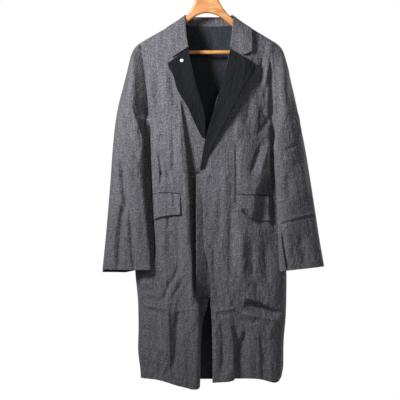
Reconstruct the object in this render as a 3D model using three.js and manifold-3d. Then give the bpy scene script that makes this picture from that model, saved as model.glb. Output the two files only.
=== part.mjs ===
// Long linen coat on a wooden hanger, seen from the front along +Y.
// Millimetres. The origin is the point where the hook rests, +Z is up, +X is the
// right-hand side of a front view and the front of the coat faces -Y.
// In the tables a "drop" is a distance down from the hook's rest, and an "out" is
// a distance from the plane of the hanger, forwards on a front, backwards on the back.

import * as THREE from "three";
import { mergeVertices } from "three/addons/utils/BufferGeometryUtils.js";
import Module from "manifold-3d";

const wasm = await Module();
wasm.setup();

// Cloth
const WALL = 1.6;
const SEAM_GAP = 0.5;
const ARMHOLE_GAP = 0.6;
const COLLAR_GAP = 1.2;
const LAYER_GAP = 0.5;

// Rows of the body, counted down from the shoulder seam
const UNDERARM_ROW = 8;
const PACKING_FOLD_ROW = 21;
const HEM_ROW = 26;

// Sections of the body: a parabola at 1, and fuller towards the sides below 1.
const ROUND_FROM_ROW = 3;
const ROUND_TO_ROW = 13;
const CHEST_ROUNDNESS = 1;
const SKIRT_ROUNDNESS = 0.6;

// Columns of the pieces
const FRONT_COLUMNS = 12;
const FOLD_COLUMNS = 4;
const FOLD_FOOT_WIDTH = 12;
const FOLD_FOOT_SHARE = 0.75;
const BACK_SHOULDER_SHARES = [0, 0.07, 0.2, 0.38, 0.58, 0.79, 1];
const BACK_NECK_COLUMNS = 8;
const BACK_ARMHOLE_SHARE = 0.85;
const BACK_HEM_DIP = 9;

// Neck
const NECK_CENTRE_X = 6;
const NECK_HALF_WIDTH = 90;
const NECK_TOP_DROP = 147;
const NECK_BACK_DROP = 172;
const NECK_BACK_OUT = 36;

// Hanger
const YOKE_THICKNESS = 16;
const YOKE_EDGE_ROUND = 5;
const YOKE_UNDER_CLOTH = 6.6;
const BAR_DIAMETER = 12;
const BAR_DROP = 243;
const BAR_LENGTH = 352;
const WIRE_DIAMETER = 4;
const HOOK_INNER_RADIUS = 20;
const HOLE_GAP = 0.5;
const YOKE_TOP_DROP = 66;
const YOKE_FOOT_DROP = 254;
const YOKE_REACH = 184;
const STEM_IN_WOOD = 22;
const YOKE_END_ROUND = 10;
const YOKE_FOOT_WIDTH = 26;
const HOOK_TIP_DEGREES = 205;
const HOOK_ROOT_DEGREES = -50;
const HOOK_STEP_DEGREES = 15;
const HOOK_STEPS = 44;

// Curves of the yoke, each by the place it bends towards and the place it ends
const yokeNeckRight = [
  { viaX: 28, viaDrop: 66, x: 39, drop: 92 },
  { viaX: 56, viaDrop: 126, x: 92, drop: 152 },
];
const yokeArch = [
  { viaX: 150, viaDrop: 222, x: 120, drop: 200 },
  { viaX: 96, viaDrop: 184, x: 75, drop: 164 },
  { viaX: 34, viaDrop: 124, x: 0, drop: 124 },
  { viaX: -34, viaDrop: 124, x: -66, drop: 162 },
  { viaX: -92, viaDrop: 186, x: -118, drop: 204 },
  { viaX: -150, viaDrop: 226, x: -158, drop: 254 },
];
const yokeNeckLeft = [
  { viaX: -46, viaDrop: 124, x: -39, drop: 92 },
  { viaX: -28, viaDrop: 66, x: 0, drop: 66 },
];

// Bends of the hook's stem below its round part
const stemBends = [
  { x: 6, drop: 46 },
  { x: 0.8, drop: 53 },
  { x: 0, drop: 61 },
];

// Press stud
const STUD_DIAMETER = 12;
const STUD_HEIGHT = 2.6;
const STUD_X = -75;
const STUD_DROP = 273;
const STUD_GAP = 0.5;

// Finishes
const linen = new THREE.MeshStandardMaterial({ color: 0x5f5c61, roughness: 0.9, metalness: 0 });
const reverse = new THREE.MeshStandardMaterial({ color: 0x1e2226, roughness: 0.92, metalness: 0 });
const wood = new THREE.MeshStandardMaterial({ color: 0xe3a765, roughness: 0.4, metalness: 0 });
const steel = new THREE.MeshStandardMaterial({ color: 0xb9bcc0, roughness: 0.25, metalness: 1 });

// Armholes: where the body ends and the sleeve starts, from the shoulder point to
// the underarm. The back's armhole has the same places at a smaller out.
const armholeLeft = [
  { row: 0, x: -206, drop: 217, out: 0 },
  { row: 1, x: -204, drop: 224.5, out: 15 },
  { row: 2, x: -199, drop: 254, out: 28 },
  { row: 3, x: -192, drop: 296, out: 37 },
  { row: 4, x: -185, drop: 342, out: 41 },
  { row: 5, x: -179, drop: 388, out: 38 },
  { row: 6, x: -177, drop: 424, out: 29 },
  { row: 7, x: -182, drop: 446, out: 15 },
  { row: 8, x: -192, drop: 454, out: 0 },
];
const armholeRight = [
  { row: 0, x: 211, drop: 216, out: 0 },
  { row: 1, x: 209.5, drop: 223.5, out: 15 },
  { row: 2, x: 205, drop: 252, out: 28 },
  { row: 3, x: 198, drop: 294, out: 37 },
  { row: 4, x: 192, drop: 341, out: 41 },
  { row: 5, x: 189, drop: 388, out: 38 },
  { row: 6, x: 190, drop: 424, out: 29 },
  { row: 7, x: 194, drop: 445, out: 15 },
  { row: 8, x: 201, drop: 453, out: 0 },
];

// Side seams from the underarm to the hem
const sideLeft = [
  { row: 8, x: -192, drop: 454 },
  { row: 9, x: -198, drop: 492 },
  { row: 10, x: -201.5, drop: 532 },
  { row: 12, x: -205, drop: 620 },
  { row: 14, x: -211, drop: 716 },
  { row: 16, x: -216, drop: 812 },
  { row: 18, x: -218, drop: 908 },
  { row: 19, x: -212, drop: 956 },
  { row: 20, x: -208, drop: 1000 },
  { row: 21, x: -208, drop: 1018 },
  { row: 22, x: -207, drop: 1050 },
  { row: 23, x: -207, drop: 1098 },
  { row: 24, x: -210, drop: 1146 },
  { row: 25, x: -202, drop: 1194 },
  { row: 26, x: -200, drop: 1228 },
];
const sideRight = [
  { row: 8, x: 201, drop: 453 },
  { row: 9, x: 209, drop: 492 },
  { row: 10, x: 213.5, drop: 532 },
  { row: 12, x: 221, drop: 620 },
  { row: 14, x: 229, drop: 716 },
  { row: 16, x: 236, drop: 812 },
  { row: 18, x: 241, drop: 908 },
  { row: 19, x: 241, drop: 956 },
  { row: 20, x: 240, drop: 1000 },
  { row: 21, x: 239.5, drop: 1018 },
  { row: 22, x: 238.5, drop: 1050 },
  { row: 23, x: 233, drop: 1098 },
  { row: 24, x: 231, drop: 1146 },
  { row: 25, x: 232.5, drop: 1194 },
  { row: 26, x: 225, drop: 1226 },
];

// Inner boundary of each front: neckline, roll line of the lapel, then the front
// edge. "crest" is the ridge of the deep fold beside the left front's edge, "dive"
// how far the cloth drops behind it and "turn" how far its edge turns in.
const innerLeft = [
  { row: 0, x: -84, drop: 147, out: 0.2, crest: -108, dive: 0, turn: 0 },
  { row: 1, x: -81, drop: 157, out: 14, crest: -105, dive: 0, turn: 0 },
  { row: 2, x: -70, drop: 190, out: 33, crest: -95, dive: 0, turn: 0 },
  { row: 3, x: -57, drop: 234, out: 47, crest: -85, dive: 0, turn: 0 },
  { row: 4, x: -50, drop: 276, out: 53, crest: -82, dive: 0, turn: 0 },
  { row: 5, x: -40, drop: 322, out: 57, crest: -81, dive: 0, turn: 0 },
  { row: 6, x: -29, drop: 364, out: 59, crest: -80, dive: 1, turn: 0 },
  { row: 7, x: -17, drop: 396, out: 60, crest: -80, dive: 3, turn: 0 },
  { row: 8, x: -9, drop: 420, out: 60, crest: -79, dive: 5, turn: 0 },
  { row: 9, x: -4.5, drop: 465, out: 60, crest: -75, dive: 8, turn: 0 },
  { row: 10, x: -7, drop: 513, out: 60, crest: -69, dive: 12, turn: 0 },
  { row: 11, x: 2, drop: 560, out: 59, crest: -65.5, dive: 17, turn: 0 },
  { row: 12, x: 8, drop: 612, out: 58, crest: -60.5, dive: 23, turn: 0 },
  { row: 13, x: 11, drop: 668, out: 57, crest: -55, dive: 30, turn: 0 },
  { row: 14, x: 13, drop: 716, out: 56, crest: -53, dive: 33, turn: 0 },
  { row: 16, x: 15, drop: 812, out: 56, crest: -51, dive: 35, turn: 0 },
  { row: 18, x: 15, drop: 908, out: 56, crest: -42, dive: 36, turn: 0 },
  { row: 19, x: 14, drop: 956, out: 55, crest: -37, dive: 36, turn: 2 },
  { row: 20, x: 6, drop: 1000, out: 54, crest: -33, dive: 36, turn: 6 },
  { row: 21, x: 0, drop: 1018, out: 54, crest: -30.5, dive: 36, turn: 9 },
  { row: 22, x: -14, drop: 1050, out: 53, crest: -29, dive: 36, turn: 14 },
  { row: 23, x: -19, drop: 1098, out: 52, crest: -28, dive: 35, turn: 15 },
  { row: 24, x: -20, drop: 1146, out: 51, crest: -27, dive: 34, turn: 15 },
  { row: 25, x: -20.5, drop: 1194, out: 50, crest: -27, dive: 33, turn: 15 },
  { row: 26, x: -22, drop: 1236, out: 49, crest: -29, dive: 32, turn: 15 },
];
const innerRight = [
  { row: 0, x: 96, drop: 147, out: 0.2 },
  { row: 1, x: 93, drop: 157, out: 14 },
  { row: 2, x: 82, drop: 190, out: 33 },
  { row: 3, x: 69, drop: 234, out: 49 },
  { row: 4, x: 62, drop: 278, out: 56 },
  { row: 5, x: 51, drop: 322, out: 60 },
  { row: 6, x: 38, drop: 364, out: 63 },
  { row: 7, x: 27, drop: 396, out: 65 },
  { row: 8, x: 19, drop: 426, out: 66 },
  { row: 9, x: 6, drop: 470, out: 66 },
  { row: 10, x: -7, drop: 513, out: 66 },
  { row: 11, x: -15, drop: 560, out: 66 },
  { row: 12, x: -22, drop: 609, out: 65 },
  { row: 13, x: -17, drop: 668, out: 65 },
  { row: 14, x: -11.5, drop: 716, out: 64 },
  { row: 15, x: -12, drop: 764, out: 64 },
  { row: 16, x: -13.5, drop: 812, out: 63 },
  { row: 17, x: -3, drop: 860, out: 63 },
  { row: 18, x: 9, drop: 908, out: 62 },
  { row: 19, x: 12.5, drop: 956, out: 61 },
  { row: 20, x: 9.5, drop: 1000, out: 60 },
  { row: 21, x: 12, drop: 1018, out: 60 },
  { row: 22, x: 14, drop: 1050, out: 59 },
  { row: 24, x: 16, drop: 1146, out: 57 },
  { row: 26, x: 16, drop: 1237, out: 55 },
];

// How far the hem of each front hangs below a straight line
const hemLeft = [
  { x: -200, dip: 0 },
  { x: -146, dip: 0 },
  { x: -106, dip: 9 },
  { x: -92, dip: 14 },
  { x: -59, dip: 19 },
  { x: -41, dip: 25 },
  { x: -22, dip: 19 },
];
const hemRight = [
  { x: 15, dip: 0 },
  { x: 63, dip: -1 },
  { x: 99, dip: -6 },
  { x: 146, dip: -4 },
  { x: 178, dip: 4 },
  { x: 203, dip: 14 },
  { x: 218, dip: 9 },
  { x: 225, dip: 0 },
];

// Depth of the back behind the hanger's plane
const backDepth = [
  { row: 0, out: 0.2, neckShare: 1 },
  { row: 1, out: 13, neckShare: 0.65 },
  { row: 2, out: 24, neckShare: 0.35 },
  { row: 3, out: 32, neckShare: 0.15 },
  { row: 4, out: 36, neckShare: 0.04 },
  { row: 6, out: 38, neckShare: 0 },
  { row: 8, out: 39, neckShare: 0 },
  { row: 14, out: 38, neckShare: 0 },
  { row: 20, out: 38, neckShare: 0 },
  { row: 26, out: 36, neckShare: 0 },
];

// Largest folds of the body: soft ridges (height over 0) and troughs (under 0)
// along a line from "x, drop" to "endX, endDrop", fading out over the width.
const frontFolds = [
  { x: -81, drop: 1016, endX: -99, endDrop: 1200, height: -9, width: 15 },
  { x: -122, drop: 985, endX: -120, endDrop: 1215, height: 5, width: 18 },
  { x: -204, drop: 1008, endX: -44, endDrop: 1016, height: -3, width: 12 },
  { x: -160, drop: 1085, endX: -176, endDrop: 1225, height: -4, width: 18 },
  { x: 90, drop: 1035, endX: 106, endDrop: 1236, height: -12, width: 15 },
  { x: 62, drop: 1040, endX: 64, endDrop: 1236, height: 5, width: 18 },
  { x: 122, drop: 990, endX: 214, endDrop: 1040, height: -5, width: 12 },
  { x: 160, drop: 1070, endX: 172, endDrop: 1236, height: 6, width: 24 },
  { x: -110, drop: 790, endX: -78, endDrop: 980, height: -5, width: 18 },
  { x: 150, drop: 310, endX: 165, endDrop: 480, height: -4, width: 18 },
];
const backFolds = [
  { x: -20, drop: 330, endX: -14, endDrop: 1000, height: -5, width: 24 },
  { x: 96, drop: 620, endX: 108, endDrop: 1236, height: -6, width: 22 },
  { x: -104, drop: 640, endX: -112, endDrop: 1236, height: -6, width: 22 },
  { x: 46, drop: 860, endX: 50, endDrop: 1236, height: 5, width: 26 },
  { x: -200, drop: 1012, endX: 225, endDrop: 1016, height: -3, width: 14 },
  { x: -56, drop: 900, endX: -60, endDrop: 1236, height: 4, width: 24 },
];

// Sleeves, ring by ring: the outer and the inner edge, and the half depths of the
// tube. The inner edge hangs in front of the side of the body, and the outer edge
// comes forwards a little with every ring below the shoulder.
const sleeveLeft = [
  { outerX: -222, outerDrop: 231, innerX: -199, innerDrop: 473, innerOut: 3, front: 40, back: 34 },
  { outerX: -231, outerDrop: 255, innerX: -202, innerDrop: 490, innerOut: 8, front: 42, back: 36 },
  { outerX: -238.5, outerDrop: 288, innerX: -202, innerDrop: 508, innerOut: 15, front: 42, back: 36 },
  { outerX: -247.5, outerDrop: 324, innerX: -198, innerDrop: 526, innerOut: 23, front: 42, back: 36 },
  { outerX: -256.5, outerDrop: 360, innerX: -192, innerDrop: 543, innerOut: 30, front: 41, back: 36 },
  { outerX: -265.5, outerDrop: 393, innerX: -189, innerDrop: 561, innerOut: 34, front: 40, back: 35 },
  { outerX: -273, outerDrop: 429, innerX: -189, innerDrop: 582, innerOut: 36, front: 38, back: 34 },
  { outerX: -279, outerDrop: 471, innerX: -189, innerDrop: 606, innerOut: 38, front: 36, back: 33 },
  { outerX: -283.5, outerDrop: 519, innerX: -188, innerDrop: 633, innerOut: 40, front: 33, back: 31 },
  { outerX: -287.5, outerDrop: 570, innerX: -186, innerDrop: 663, innerOut: 43, front: 30, back: 29 },
  { outerX: -290.5, outerDrop: 618, innerX: -183, innerDrop: 696, innerOut: 46, front: 27, back: 26 },
  { outerX: -294.5, outerDrop: 669, innerX: -180, innerDrop: 729, innerOut: 49, front: 25, back: 23 },
  { outerX: -298.5, outerDrop: 720, innerX: -178, innerDrop: 762, innerOut: 52, front: 22, back: 20 },
  { outerX: -303, outerDrop: 774, innerX: -176, innerDrop: 798, innerOut: 55, front: 20, back: 18 },
  { outerX: -307.5, outerDrop: 822, innerX: -173, innerDrop: 831, innerOut: 57, front: 18, back: 16 },
  { outerX: -312, outerDrop: 861, innerX: -170, innerDrop: 866, innerOut: 59, front: 17, back: 14 },
  { outerX: -316, outerDrop: 899, innerX: -168, innerDrop: 899, innerOut: 60, front: 16, back: 13 },
];
const sleeveRight = [
  { outerX: 226.5, outerDrop: 230, innerX: 209, innerDrop: 473, innerOut: 3, front: 40, back: 34 },
  { outerX: 235.5, outerDrop: 250, innerX: 214, innerDrop: 490, innerOut: 8, front: 42, back: 36 },
  { outerX: 244.5, outerDrop: 288, innerX: 214, innerDrop: 508, innerOut: 15, front: 42, back: 36 },
  { outerX: 253.5, outerDrop: 327, innerX: 209, innerDrop: 526, innerOut: 23, front: 42, back: 36 },
  { outerX: 262.5, outerDrop: 366, innerX: 204, innerDrop: 543, innerOut: 30, front: 42, back: 36 },
  { outerX: 271.5, outerDrop: 405, innerX: 202, innerDrop: 561, innerOut: 34, front: 41, back: 36 },
  { outerX: 279, outerDrop: 444, innerX: 202, innerDrop: 583, innerOut: 37, front: 40, back: 35 },
  { outerX: 287.5, outerDrop: 486, innerX: 203, innerDrop: 608, innerOut: 39, front: 38, back: 34 },
  { outerX: 296.5, outerDrop: 531, innerX: 205, innerDrop: 636, innerOut: 41, front: 36, back: 32 },
  { outerX: 304.5, outerDrop: 579, innerX: 207, innerDrop: 666, innerOut: 43, front: 33, back: 30 },
  { outerX: 312, outerDrop: 627, innerX: 208.5, innerDrop: 698, innerOut: 45, front: 30, back: 28 },
  { outerX: 319.5, outerDrop: 675, innerX: 210, innerDrop: 730, innerOut: 47, front: 28, back: 26 },
  { outerX: 327, outerDrop: 723, innerX: 211, innerDrop: 763, innerOut: 49, front: 26, back: 23 },
  { outerX: 334, outerDrop: 771, innerX: 212, innerDrop: 799, innerOut: 51, front: 24, back: 20 },
  { outerX: 341, outerDrop: 816, innerX: 213, innerDrop: 834, innerOut: 53, front: 22, back: 18 },
  { outerX: 348, outerDrop: 855, innerX: 214.5, innerDrop: 869, innerOut: 54, front: 20, back: 16 },
  { outerX: 354, outerDrop: 890, innerX: 217.5, innerDrop: 903, innerOut: 55, front: 18, back: 15 },
];
const SLEEVE_HALF_COLUMNS = 8;
const SLEEVE_FORWARD_RING = 2;
const SLEEVE_FORWARD_STEP = 1;
const CUFF_VENT_SHARE = 0.05;
const SLEEVE_INNER_TAPER = 0.5;
const SHARED_SLOPE_COLUMNS = 5;

// Collar stations from the left front round the back to the right front. "neck"
// is a row of the front's neckline or, under "backX", a place on the back's.
const collarStations = [
  {
    side: "left", neck: 3, foldX: -56.5, foldDrop: 230, foldOut: 53.5,
    midX: -81, midDrop: 247, midOut: 54, edgeX: -105.5, edgeDrop: 263, edgeOut: 52.5,
  },
  {
    side: "left", neck: 2, foldX: -62.5, foldDrop: 190, foldOut: 41,
    midX: -92, midDrop: 214, midOut: 48, edgeX: -119, edgeDrop: 226, edgeOut: 44.5,
  },
  {
    side: "left", neck: 1, foldX: -65.5, foldDrop: 146, foldOut: 19,
    midX: -95, midDrop: 184, midOut: 36, edgeX: -122, edgeDrop: 192, edgeOut: 31.5,
  },
  {
    side: "left", neck: 0, foldX: -67.5, foldDrop: 128.5, foldOut: 0,
    midX: -97, midDrop: 149, midOut: 2, edgeX: -121, edgeDrop: 163, edgeOut: 2,
  },
  {
    side: "back", neck: -62, foldX: -57, foldDrop: 130, foldOut: -23,
    midX: -78, midDrop: 152, midOut: -35, edgeX: -96, edgeDrop: 176, edgeOut: -36,
  },
  {
    side: "back", neck: -39.5, foldX: -38, foldDrop: 136, foldOut: -33,
    midX: -50, midDrop: 160, midOut: -42, edgeX: -60, edgeDrop: 190, edgeOut: -46,
  },
  {
    side: "back", neck: -17, foldX: -17, foldDrop: 140, foldOut: -37,
    midX: -22, midDrop: 163, midOut: -47, edgeX: -26, edgeDrop: 194, edgeOut: -49,
  },
  {
    side: "back", neck: 6, foldX: 6, foldDrop: 141, foldOut: -38.5,
    midX: 6, midDrop: 164, midOut: -48.5, edgeX: 6, edgeDrop: 196, edgeOut: -51,
  },
  {
    side: "back", neck: 29, foldX: 29, foldDrop: 140, foldOut: -37,
    midX: 34, midDrop: 163, midOut: -47, edgeX: 38, edgeDrop: 194, edgeOut: -49,
  },
  {
    side: "back", neck: 51.5, foldX: 50, foldDrop: 136, foldOut: -33,
    midX: 62, midDrop: 160, midOut: -42, edgeX: 72, edgeDrop: 190, edgeOut: -46,
  },
  {
    side: "back", neck: 74, foldX: 69, foldDrop: 130, foldOut: -23,
    midX: 90, midDrop: 152, midOut: -35, edgeX: 108, edgeDrop: 176, edgeOut: -36,
  },
  {
    side: "right", neck: 0, foldX: 79.5, foldDrop: 128.5, foldOut: 0,
    midX: 108, midDrop: 149, midOut: 2, edgeX: 133, edgeDrop: 165, edgeOut: 2,
  },
  {
    side: "right", neck: 1, foldX: 78.5, foldDrop: 146, foldOut: 19,
    midX: 106, midDrop: 183, midOut: 36, edgeX: 134.5, edgeDrop: 190, edgeOut: 31.5,
  },
  {
    side: "right", neck: 2, foldX: 75.5, foldDrop: 190, foldOut: 42,
    midX: 104, midDrop: 212, midOut: 49, edgeX: 135.5, edgeDrop: 219, edgeOut: 45,
  },
  {
    side: "right", neck: 3, foldX: 69, foldDrop: 230, foldOut: 55,
    midX: 107, midDrop: 258, midOut: 57, edgeX: 135, edgeDrop: 243, edgeOut: 51,
  },
];
const COLLAR_STEPS_PER_STATION = 2;
const COLLAR_COLUMNS = 8;
const COLLAR_FOLD_WIDTH = 5;

// Lapels: the roll line, the outer edge and how far the edge lifts off the front
const lapelLeft = [
  { rollX: -56.5, rollDrop: 236, edgeX: -117, edgeDrop: 280.5, lift: 2 },
  { rollX: -52, rollDrop: 262, edgeX: -113.5, edgeDrop: 296, lift: 3 },
  { rollX: -47, rollDrop: 284, edgeX: -103, edgeDrop: 312, lift: 4 },
  { rollX: -38, rollDrop: 324, edgeX: -95, edgeDrop: 340, lift: 5 },
  { rollX: -28, rollDrop: 364, edgeX: -86, edgeDrop: 367, lift: 5 },
  { rollX: -10, rollDrop: 417, edgeX: -66, edgeDrop: 397, lift: 5 },
  { rollX: -5, rollDrop: 460, edgeX: -38, edgeDrop: 456, lift: 4 },
  { rollX: -7, rollDrop: 505, edgeX: -15, edgeDrop: 503, lift: 1 },
];
const lapelRight = [
  { rollX: 69.5, rollDrop: 237, edgeX: 144, edgeDrop: 284, lift: 3 },
  { rollX: 65, rollDrop: 262, edgeX: 143, edgeDrop: 299, lift: 6 },
  { rollX: 61, rollDrop: 282, edgeX: 136, edgeDrop: 315, lift: 8 },
  { rollX: 50, rollDrop: 324, edgeX: 118, edgeDrop: 337, lift: 9 },
  { rollX: 37, rollDrop: 366, edgeX: 103, edgeDrop: 359, lift: 9 },
  { rollX: 19, rollDrop: 425, edgeX: 76, edgeDrop: 415, lift: 9 },
  { rollX: 4, rollDrop: 476, edgeX: 53, edgeDrop: 460, lift: 8 },
  { rollX: -7, rollDrop: 515, edgeX: 33, edgeDrop: 497, lift: 6 },
  { rollX: -15, rollDrop: 560, edgeX: 7, edgeDrop: 546, lift: 4 },
  { rollX: -21, rollDrop: 600, edgeX: -12, edgeDrop: 595, lift: 1 },
];
const LAPEL_ROWS = 16;
const LAPEL_COLUMNS = 6;
const ROLL_HEIGHT = 3;
const ROLL_SHARE = 0.12;
const ROLL_SPREAD = 0.2;

// Pocket flaps: the seam above, the free edge below and how far that lifts off
const flapLeft = [
  { topX: -181, topDrop: 676, lowX: -182, lowDrop: 754, lift: 5 },
  { topX: -163, topDrop: 672, lowX: -163, lowDrop: 750, lift: 5 },
  { topX: -141, topDrop: 666, lowX: -143, lowDrop: 741, lift: 6 },
  { topX: -110, topDrop: 666, lowX: -112, lowDrop: 735, lift: 5 },
  { topX: -80, topDrop: 669, lowX: -80, lowDrop: 733, lift: 7 },
];
const flapRight = [
  { topX: 90, topDrop: 672, lowX: 96, lowDrop: 727, lift: 14 },
  { topX: 118, topDrop: 673, lowX: 119, lowDrop: 742, lift: 6 },
  { topX: 148, topDrop: 673, lowX: 148, lowDrop: 749, lift: 5 },
  { topX: 180, topDrop: 673, lowX: 180, lowDrop: 750, lift: 5 },
  { topX: 208, topDrop: 676, lowX: 208, lowDrop: 752, lift: 3 },
];
const FLAP_COLUMNS = 8;
const FLAP_ROWS = 4;

// Fly strip under the edge of the right front
const FLY_OUTER_X = -33;
const FLY_INNER_X = 24;
const FLY_TOP_DROP = 612;
const FLY_BOTTOM_DROP = 985;
const FLY_ROWS = 10;
const FLY_COLUMNS = 4;

const lerp = (a, b, share) => a + (b - a) * share;
const clamp = (value, low, high) => Math.min(high, Math.max(low, value));
const smooth = (share) => share * share * (3 - 2 * share);

// A named column of a table at any key, as a smooth curve through its rows.
function at(table, key, column, value) {
  const last = table.length - 1;
  let i = 0;
  while (i < last - 1 && value > table[i + 1][key]) {
    i += 1;
  }
  const slope = (j) => {
    const a = table[Math.max(j - 1, 0)];
    const b = table[Math.min(j + 1, last)];
    return (b[column] - a[column]) / (b[key] - a[key]);
  };
  const from = table[i];
  const to = table[i + 1];
  const span = to[key] - from[key];
  const t = (value - from[key]) / span;
  if (t < 0) {
    return from[column] + slope(i) * (value - from[key]);
  }
  if (t > 1) {
    return to[column] + slope(i + 1) * (value - to[key]);
  }
  const eased = t * t * (3 - 2 * t);
  const leave = slope(i) * span * t * (1 - t) * (1 - t);
  const arrive = slope(i + 1) * span * t * t * (1 - t);
  return lerp(from[column], to[column], eased) + leave - arrive;
}

// The same, for a table whose key is simply the number of the row.
function atIndex(table, column, value) {
  const numbered = table.map((row, index) => ({ index, value: row[column] }));
  return at(numbered, "index", "value", value);
}

function joined(armhole, side) {
  return [...armhole, ...side.slice(1).map((row) => ({ ...row, out: 0 }))];
}

const edgeLeft = joined(armholeLeft, sideLeft);
const edgeRight = joined(armholeRight, sideRight);

// Height of all folds of a list at one place.
function relief(folds, x, drop) {
  let height = 0;
  for (const fold of folds) {
    const runX = fold.endX - fold.x;
    const runDrop = fold.endDrop - fold.drop;
    const along = ((x - fold.x) * runX + (drop - fold.drop) * runDrop) / (runX ** 2 + runDrop ** 2);
    const share = clamp(along, 0, 1);
    const away = Math.hypot(x - fold.x - share * runX, drop - fold.drop - share * runDrop);
    height += fold.height * Math.exp(-((away / fold.width) ** 2));
  }
  return height;
}

// Share of the full depth at a share of the way from the centre to the side.
function bow(share, row) {
  const lowness = smooth(clamp((row - ROUND_FROM_ROW) / (ROUND_TO_ROW - ROUND_FROM_ROW), 0, 1));
  const roundness = lerp(CHEST_ROUNDNESS, SKIRT_ROUNDNESS, lowness);
  return Math.max(1 - share * share, 0) ** roundness;
}

// A front: any place on it is given by a row and an x.
class Front {
  constructor(inner, outer, hem) {
    this.inner = inner;
    this.outer = outer;
    this.hem = hem;
    this.hasFold = "crest" in inner[0];
  }

  crestX(row) {
    return this.hasFold ? at(this.inner, "row", "crest", row) : at(this.inner, "row", "x", row);
  }

  dropAt(row, x) {
    const innerX = at(this.inner, "row", "x", row);
    const outerX = at(this.outer, "row", "x", row);
    const share = (x - innerX) / (outerX - innerX);
    const straight = lerp(at(this.inner, "row", "drop", row), at(this.outer, "row", "drop", row), share);
    const lowness = clamp((row - PACKING_FOLD_ROW) / (HEM_ROW - PACKING_FOLD_ROW), 0, 1);
    const ends = [this.hem[0].x, this.hem[this.hem.length - 1].x];
    const onHem = clamp(x, Math.min(...ends), Math.max(...ends));
    return straight + at(this.hem, "x", "dip", onHem) * lowness ** 2;
  }

  outAt(row, x) {
    const depth = at(this.inner, "row", "out", row);
    const outerX = at(this.outer, "row", "x", row);
    const crest = this.crestX(row);
    const edgeOut = Math.max(at(this.outer, "row", "out", Math.min(row, UNDERARM_ROW)), SEAM_GAP / 2);
    const share = clamp((x - crest) / (outerX - crest), 0, 1);
    const main = lerp(edgeOut, depth, bow(share, row));
    const settled = clamp(row - 1, 0, 1) * (1 - share ** 4);
    return main + relief(frontFolds, x, this.dropAt(row, x)) * settled;
  }

  place(row, x) {
    return new THREE.Vector3(x, -this.outAt(row, x), -this.dropAt(row, x));
  }

  // Past the side seam the surface goes on into the back; past the shoulder seam too.
  point(column, row) {
    if (row < 0) {
      const mirrored = this.point(column, -row);
      return new THREE.Vector3(mirrored.x, -mirrored.y, mirrored.z);
    }
    const innerX = at(this.inner, "row", "x", row);
    const outerX = at(this.outer, "row", "x", row);
    const crest = this.crestX(row);
    const last = FRONT_COLUMNS + (this.hasFold ? FOLD_COLUMNS : 0);
    if (column > last) {
      const mirrored = this.point(2 * last - column, row);
      const end = this.point(last, row);
      return row >= UNDERARM_ROW
        ? new THREE.Vector3(mirrored.x, -mirrored.y, mirrored.z)
        : end.multiplyScalar(2).sub(mirrored);
    }
    if (this.hasFold && column < FOLD_COLUMNS) {
      return this.foldPoint(column / FOLD_COLUMNS, row, crest, innerX);
    }
    const share = (column - (this.hasFold ? FOLD_COLUMNS : 0)) / FRONT_COLUMNS;
    if (share < 0) {
      const mirrored = this.point(-column, row);
      return this.point(0, row).multiplyScalar(2).sub(mirrored);
    }
    const spread = (share + Math.sin((share * Math.PI) / 2)) / 2;
    return this.place(row, lerp(crest, outerX, spread));
  }

  // Between the front edge (0) and the crest of the deep fold (1).
  foldPoint(share, row, crest, innerX) {
    const behind = 1 - share;
    const footX = crest + Math.min(FOLD_FOOT_WIDTH, FOLD_FOOT_SHARE * (innerX - crest));
    const toFoot = clamp(2 * behind, 0, 1);
    const pastFoot = 2 * behind - 1;
    const x = pastFoot > 0 ? lerp(footX, innerX, pastFoot) : lerp(crest, footX, toFoot);
    const dive = at(this.inner, "row", "dive", row) * smooth(toFoot);
    const turn = at(this.inner, "row", "turn", row) * Math.max(pastFoot, 0);
    const level = row < UNDERARM_ROW ? -this.outAt(row, x) : this.place(row, crest).y;
    return new THREE.Vector3(x, level + dive + turn, -this.dropAt(row, x));
  }

  columns() {
    return FRONT_COLUMNS + (this.hasFold ? FOLD_COLUMNS : 0);
  }

  // The place at a given x and drop, found by halving the range of rows.
  find(x, drop) {
    let low = 0;
    let high = HEM_ROW;
    for (let i = 0; i < 30; i += 1) {
      const middle = (low + high) / 2;
      if (this.dropAt(middle, x) < drop) {
        low = middle;
      } else {
        high = middle;
      }
    }
    return this.surface(low, x);
  }

  // The surface with its deep fold, at a row and an x.
  surface(row, x) {
    const crest = this.crestX(row);
    if (!this.hasFold || x <= crest) {
      return this.place(row, x);
    }
    const dive = at(this.inner, "row", "dive", row);
    const sunk = dive * smooth(clamp((x - crest) / FOLD_FOOT_WIDTH, 0, 1));
    const place = this.place(row, x);
    place.y += sunk;
    return place;
  }
}

const frontLeft = new Front(innerLeft, edgeLeft, hemLeft);
const frontRight = new Front(innerRight, edgeRight, hemRight);

// Depth of the neckline's back half, at a share of its half width from the centre.
function neckOut(away) {
  return NECK_BACK_OUT * Math.cbrt(1 - away ** 3);
}

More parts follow.
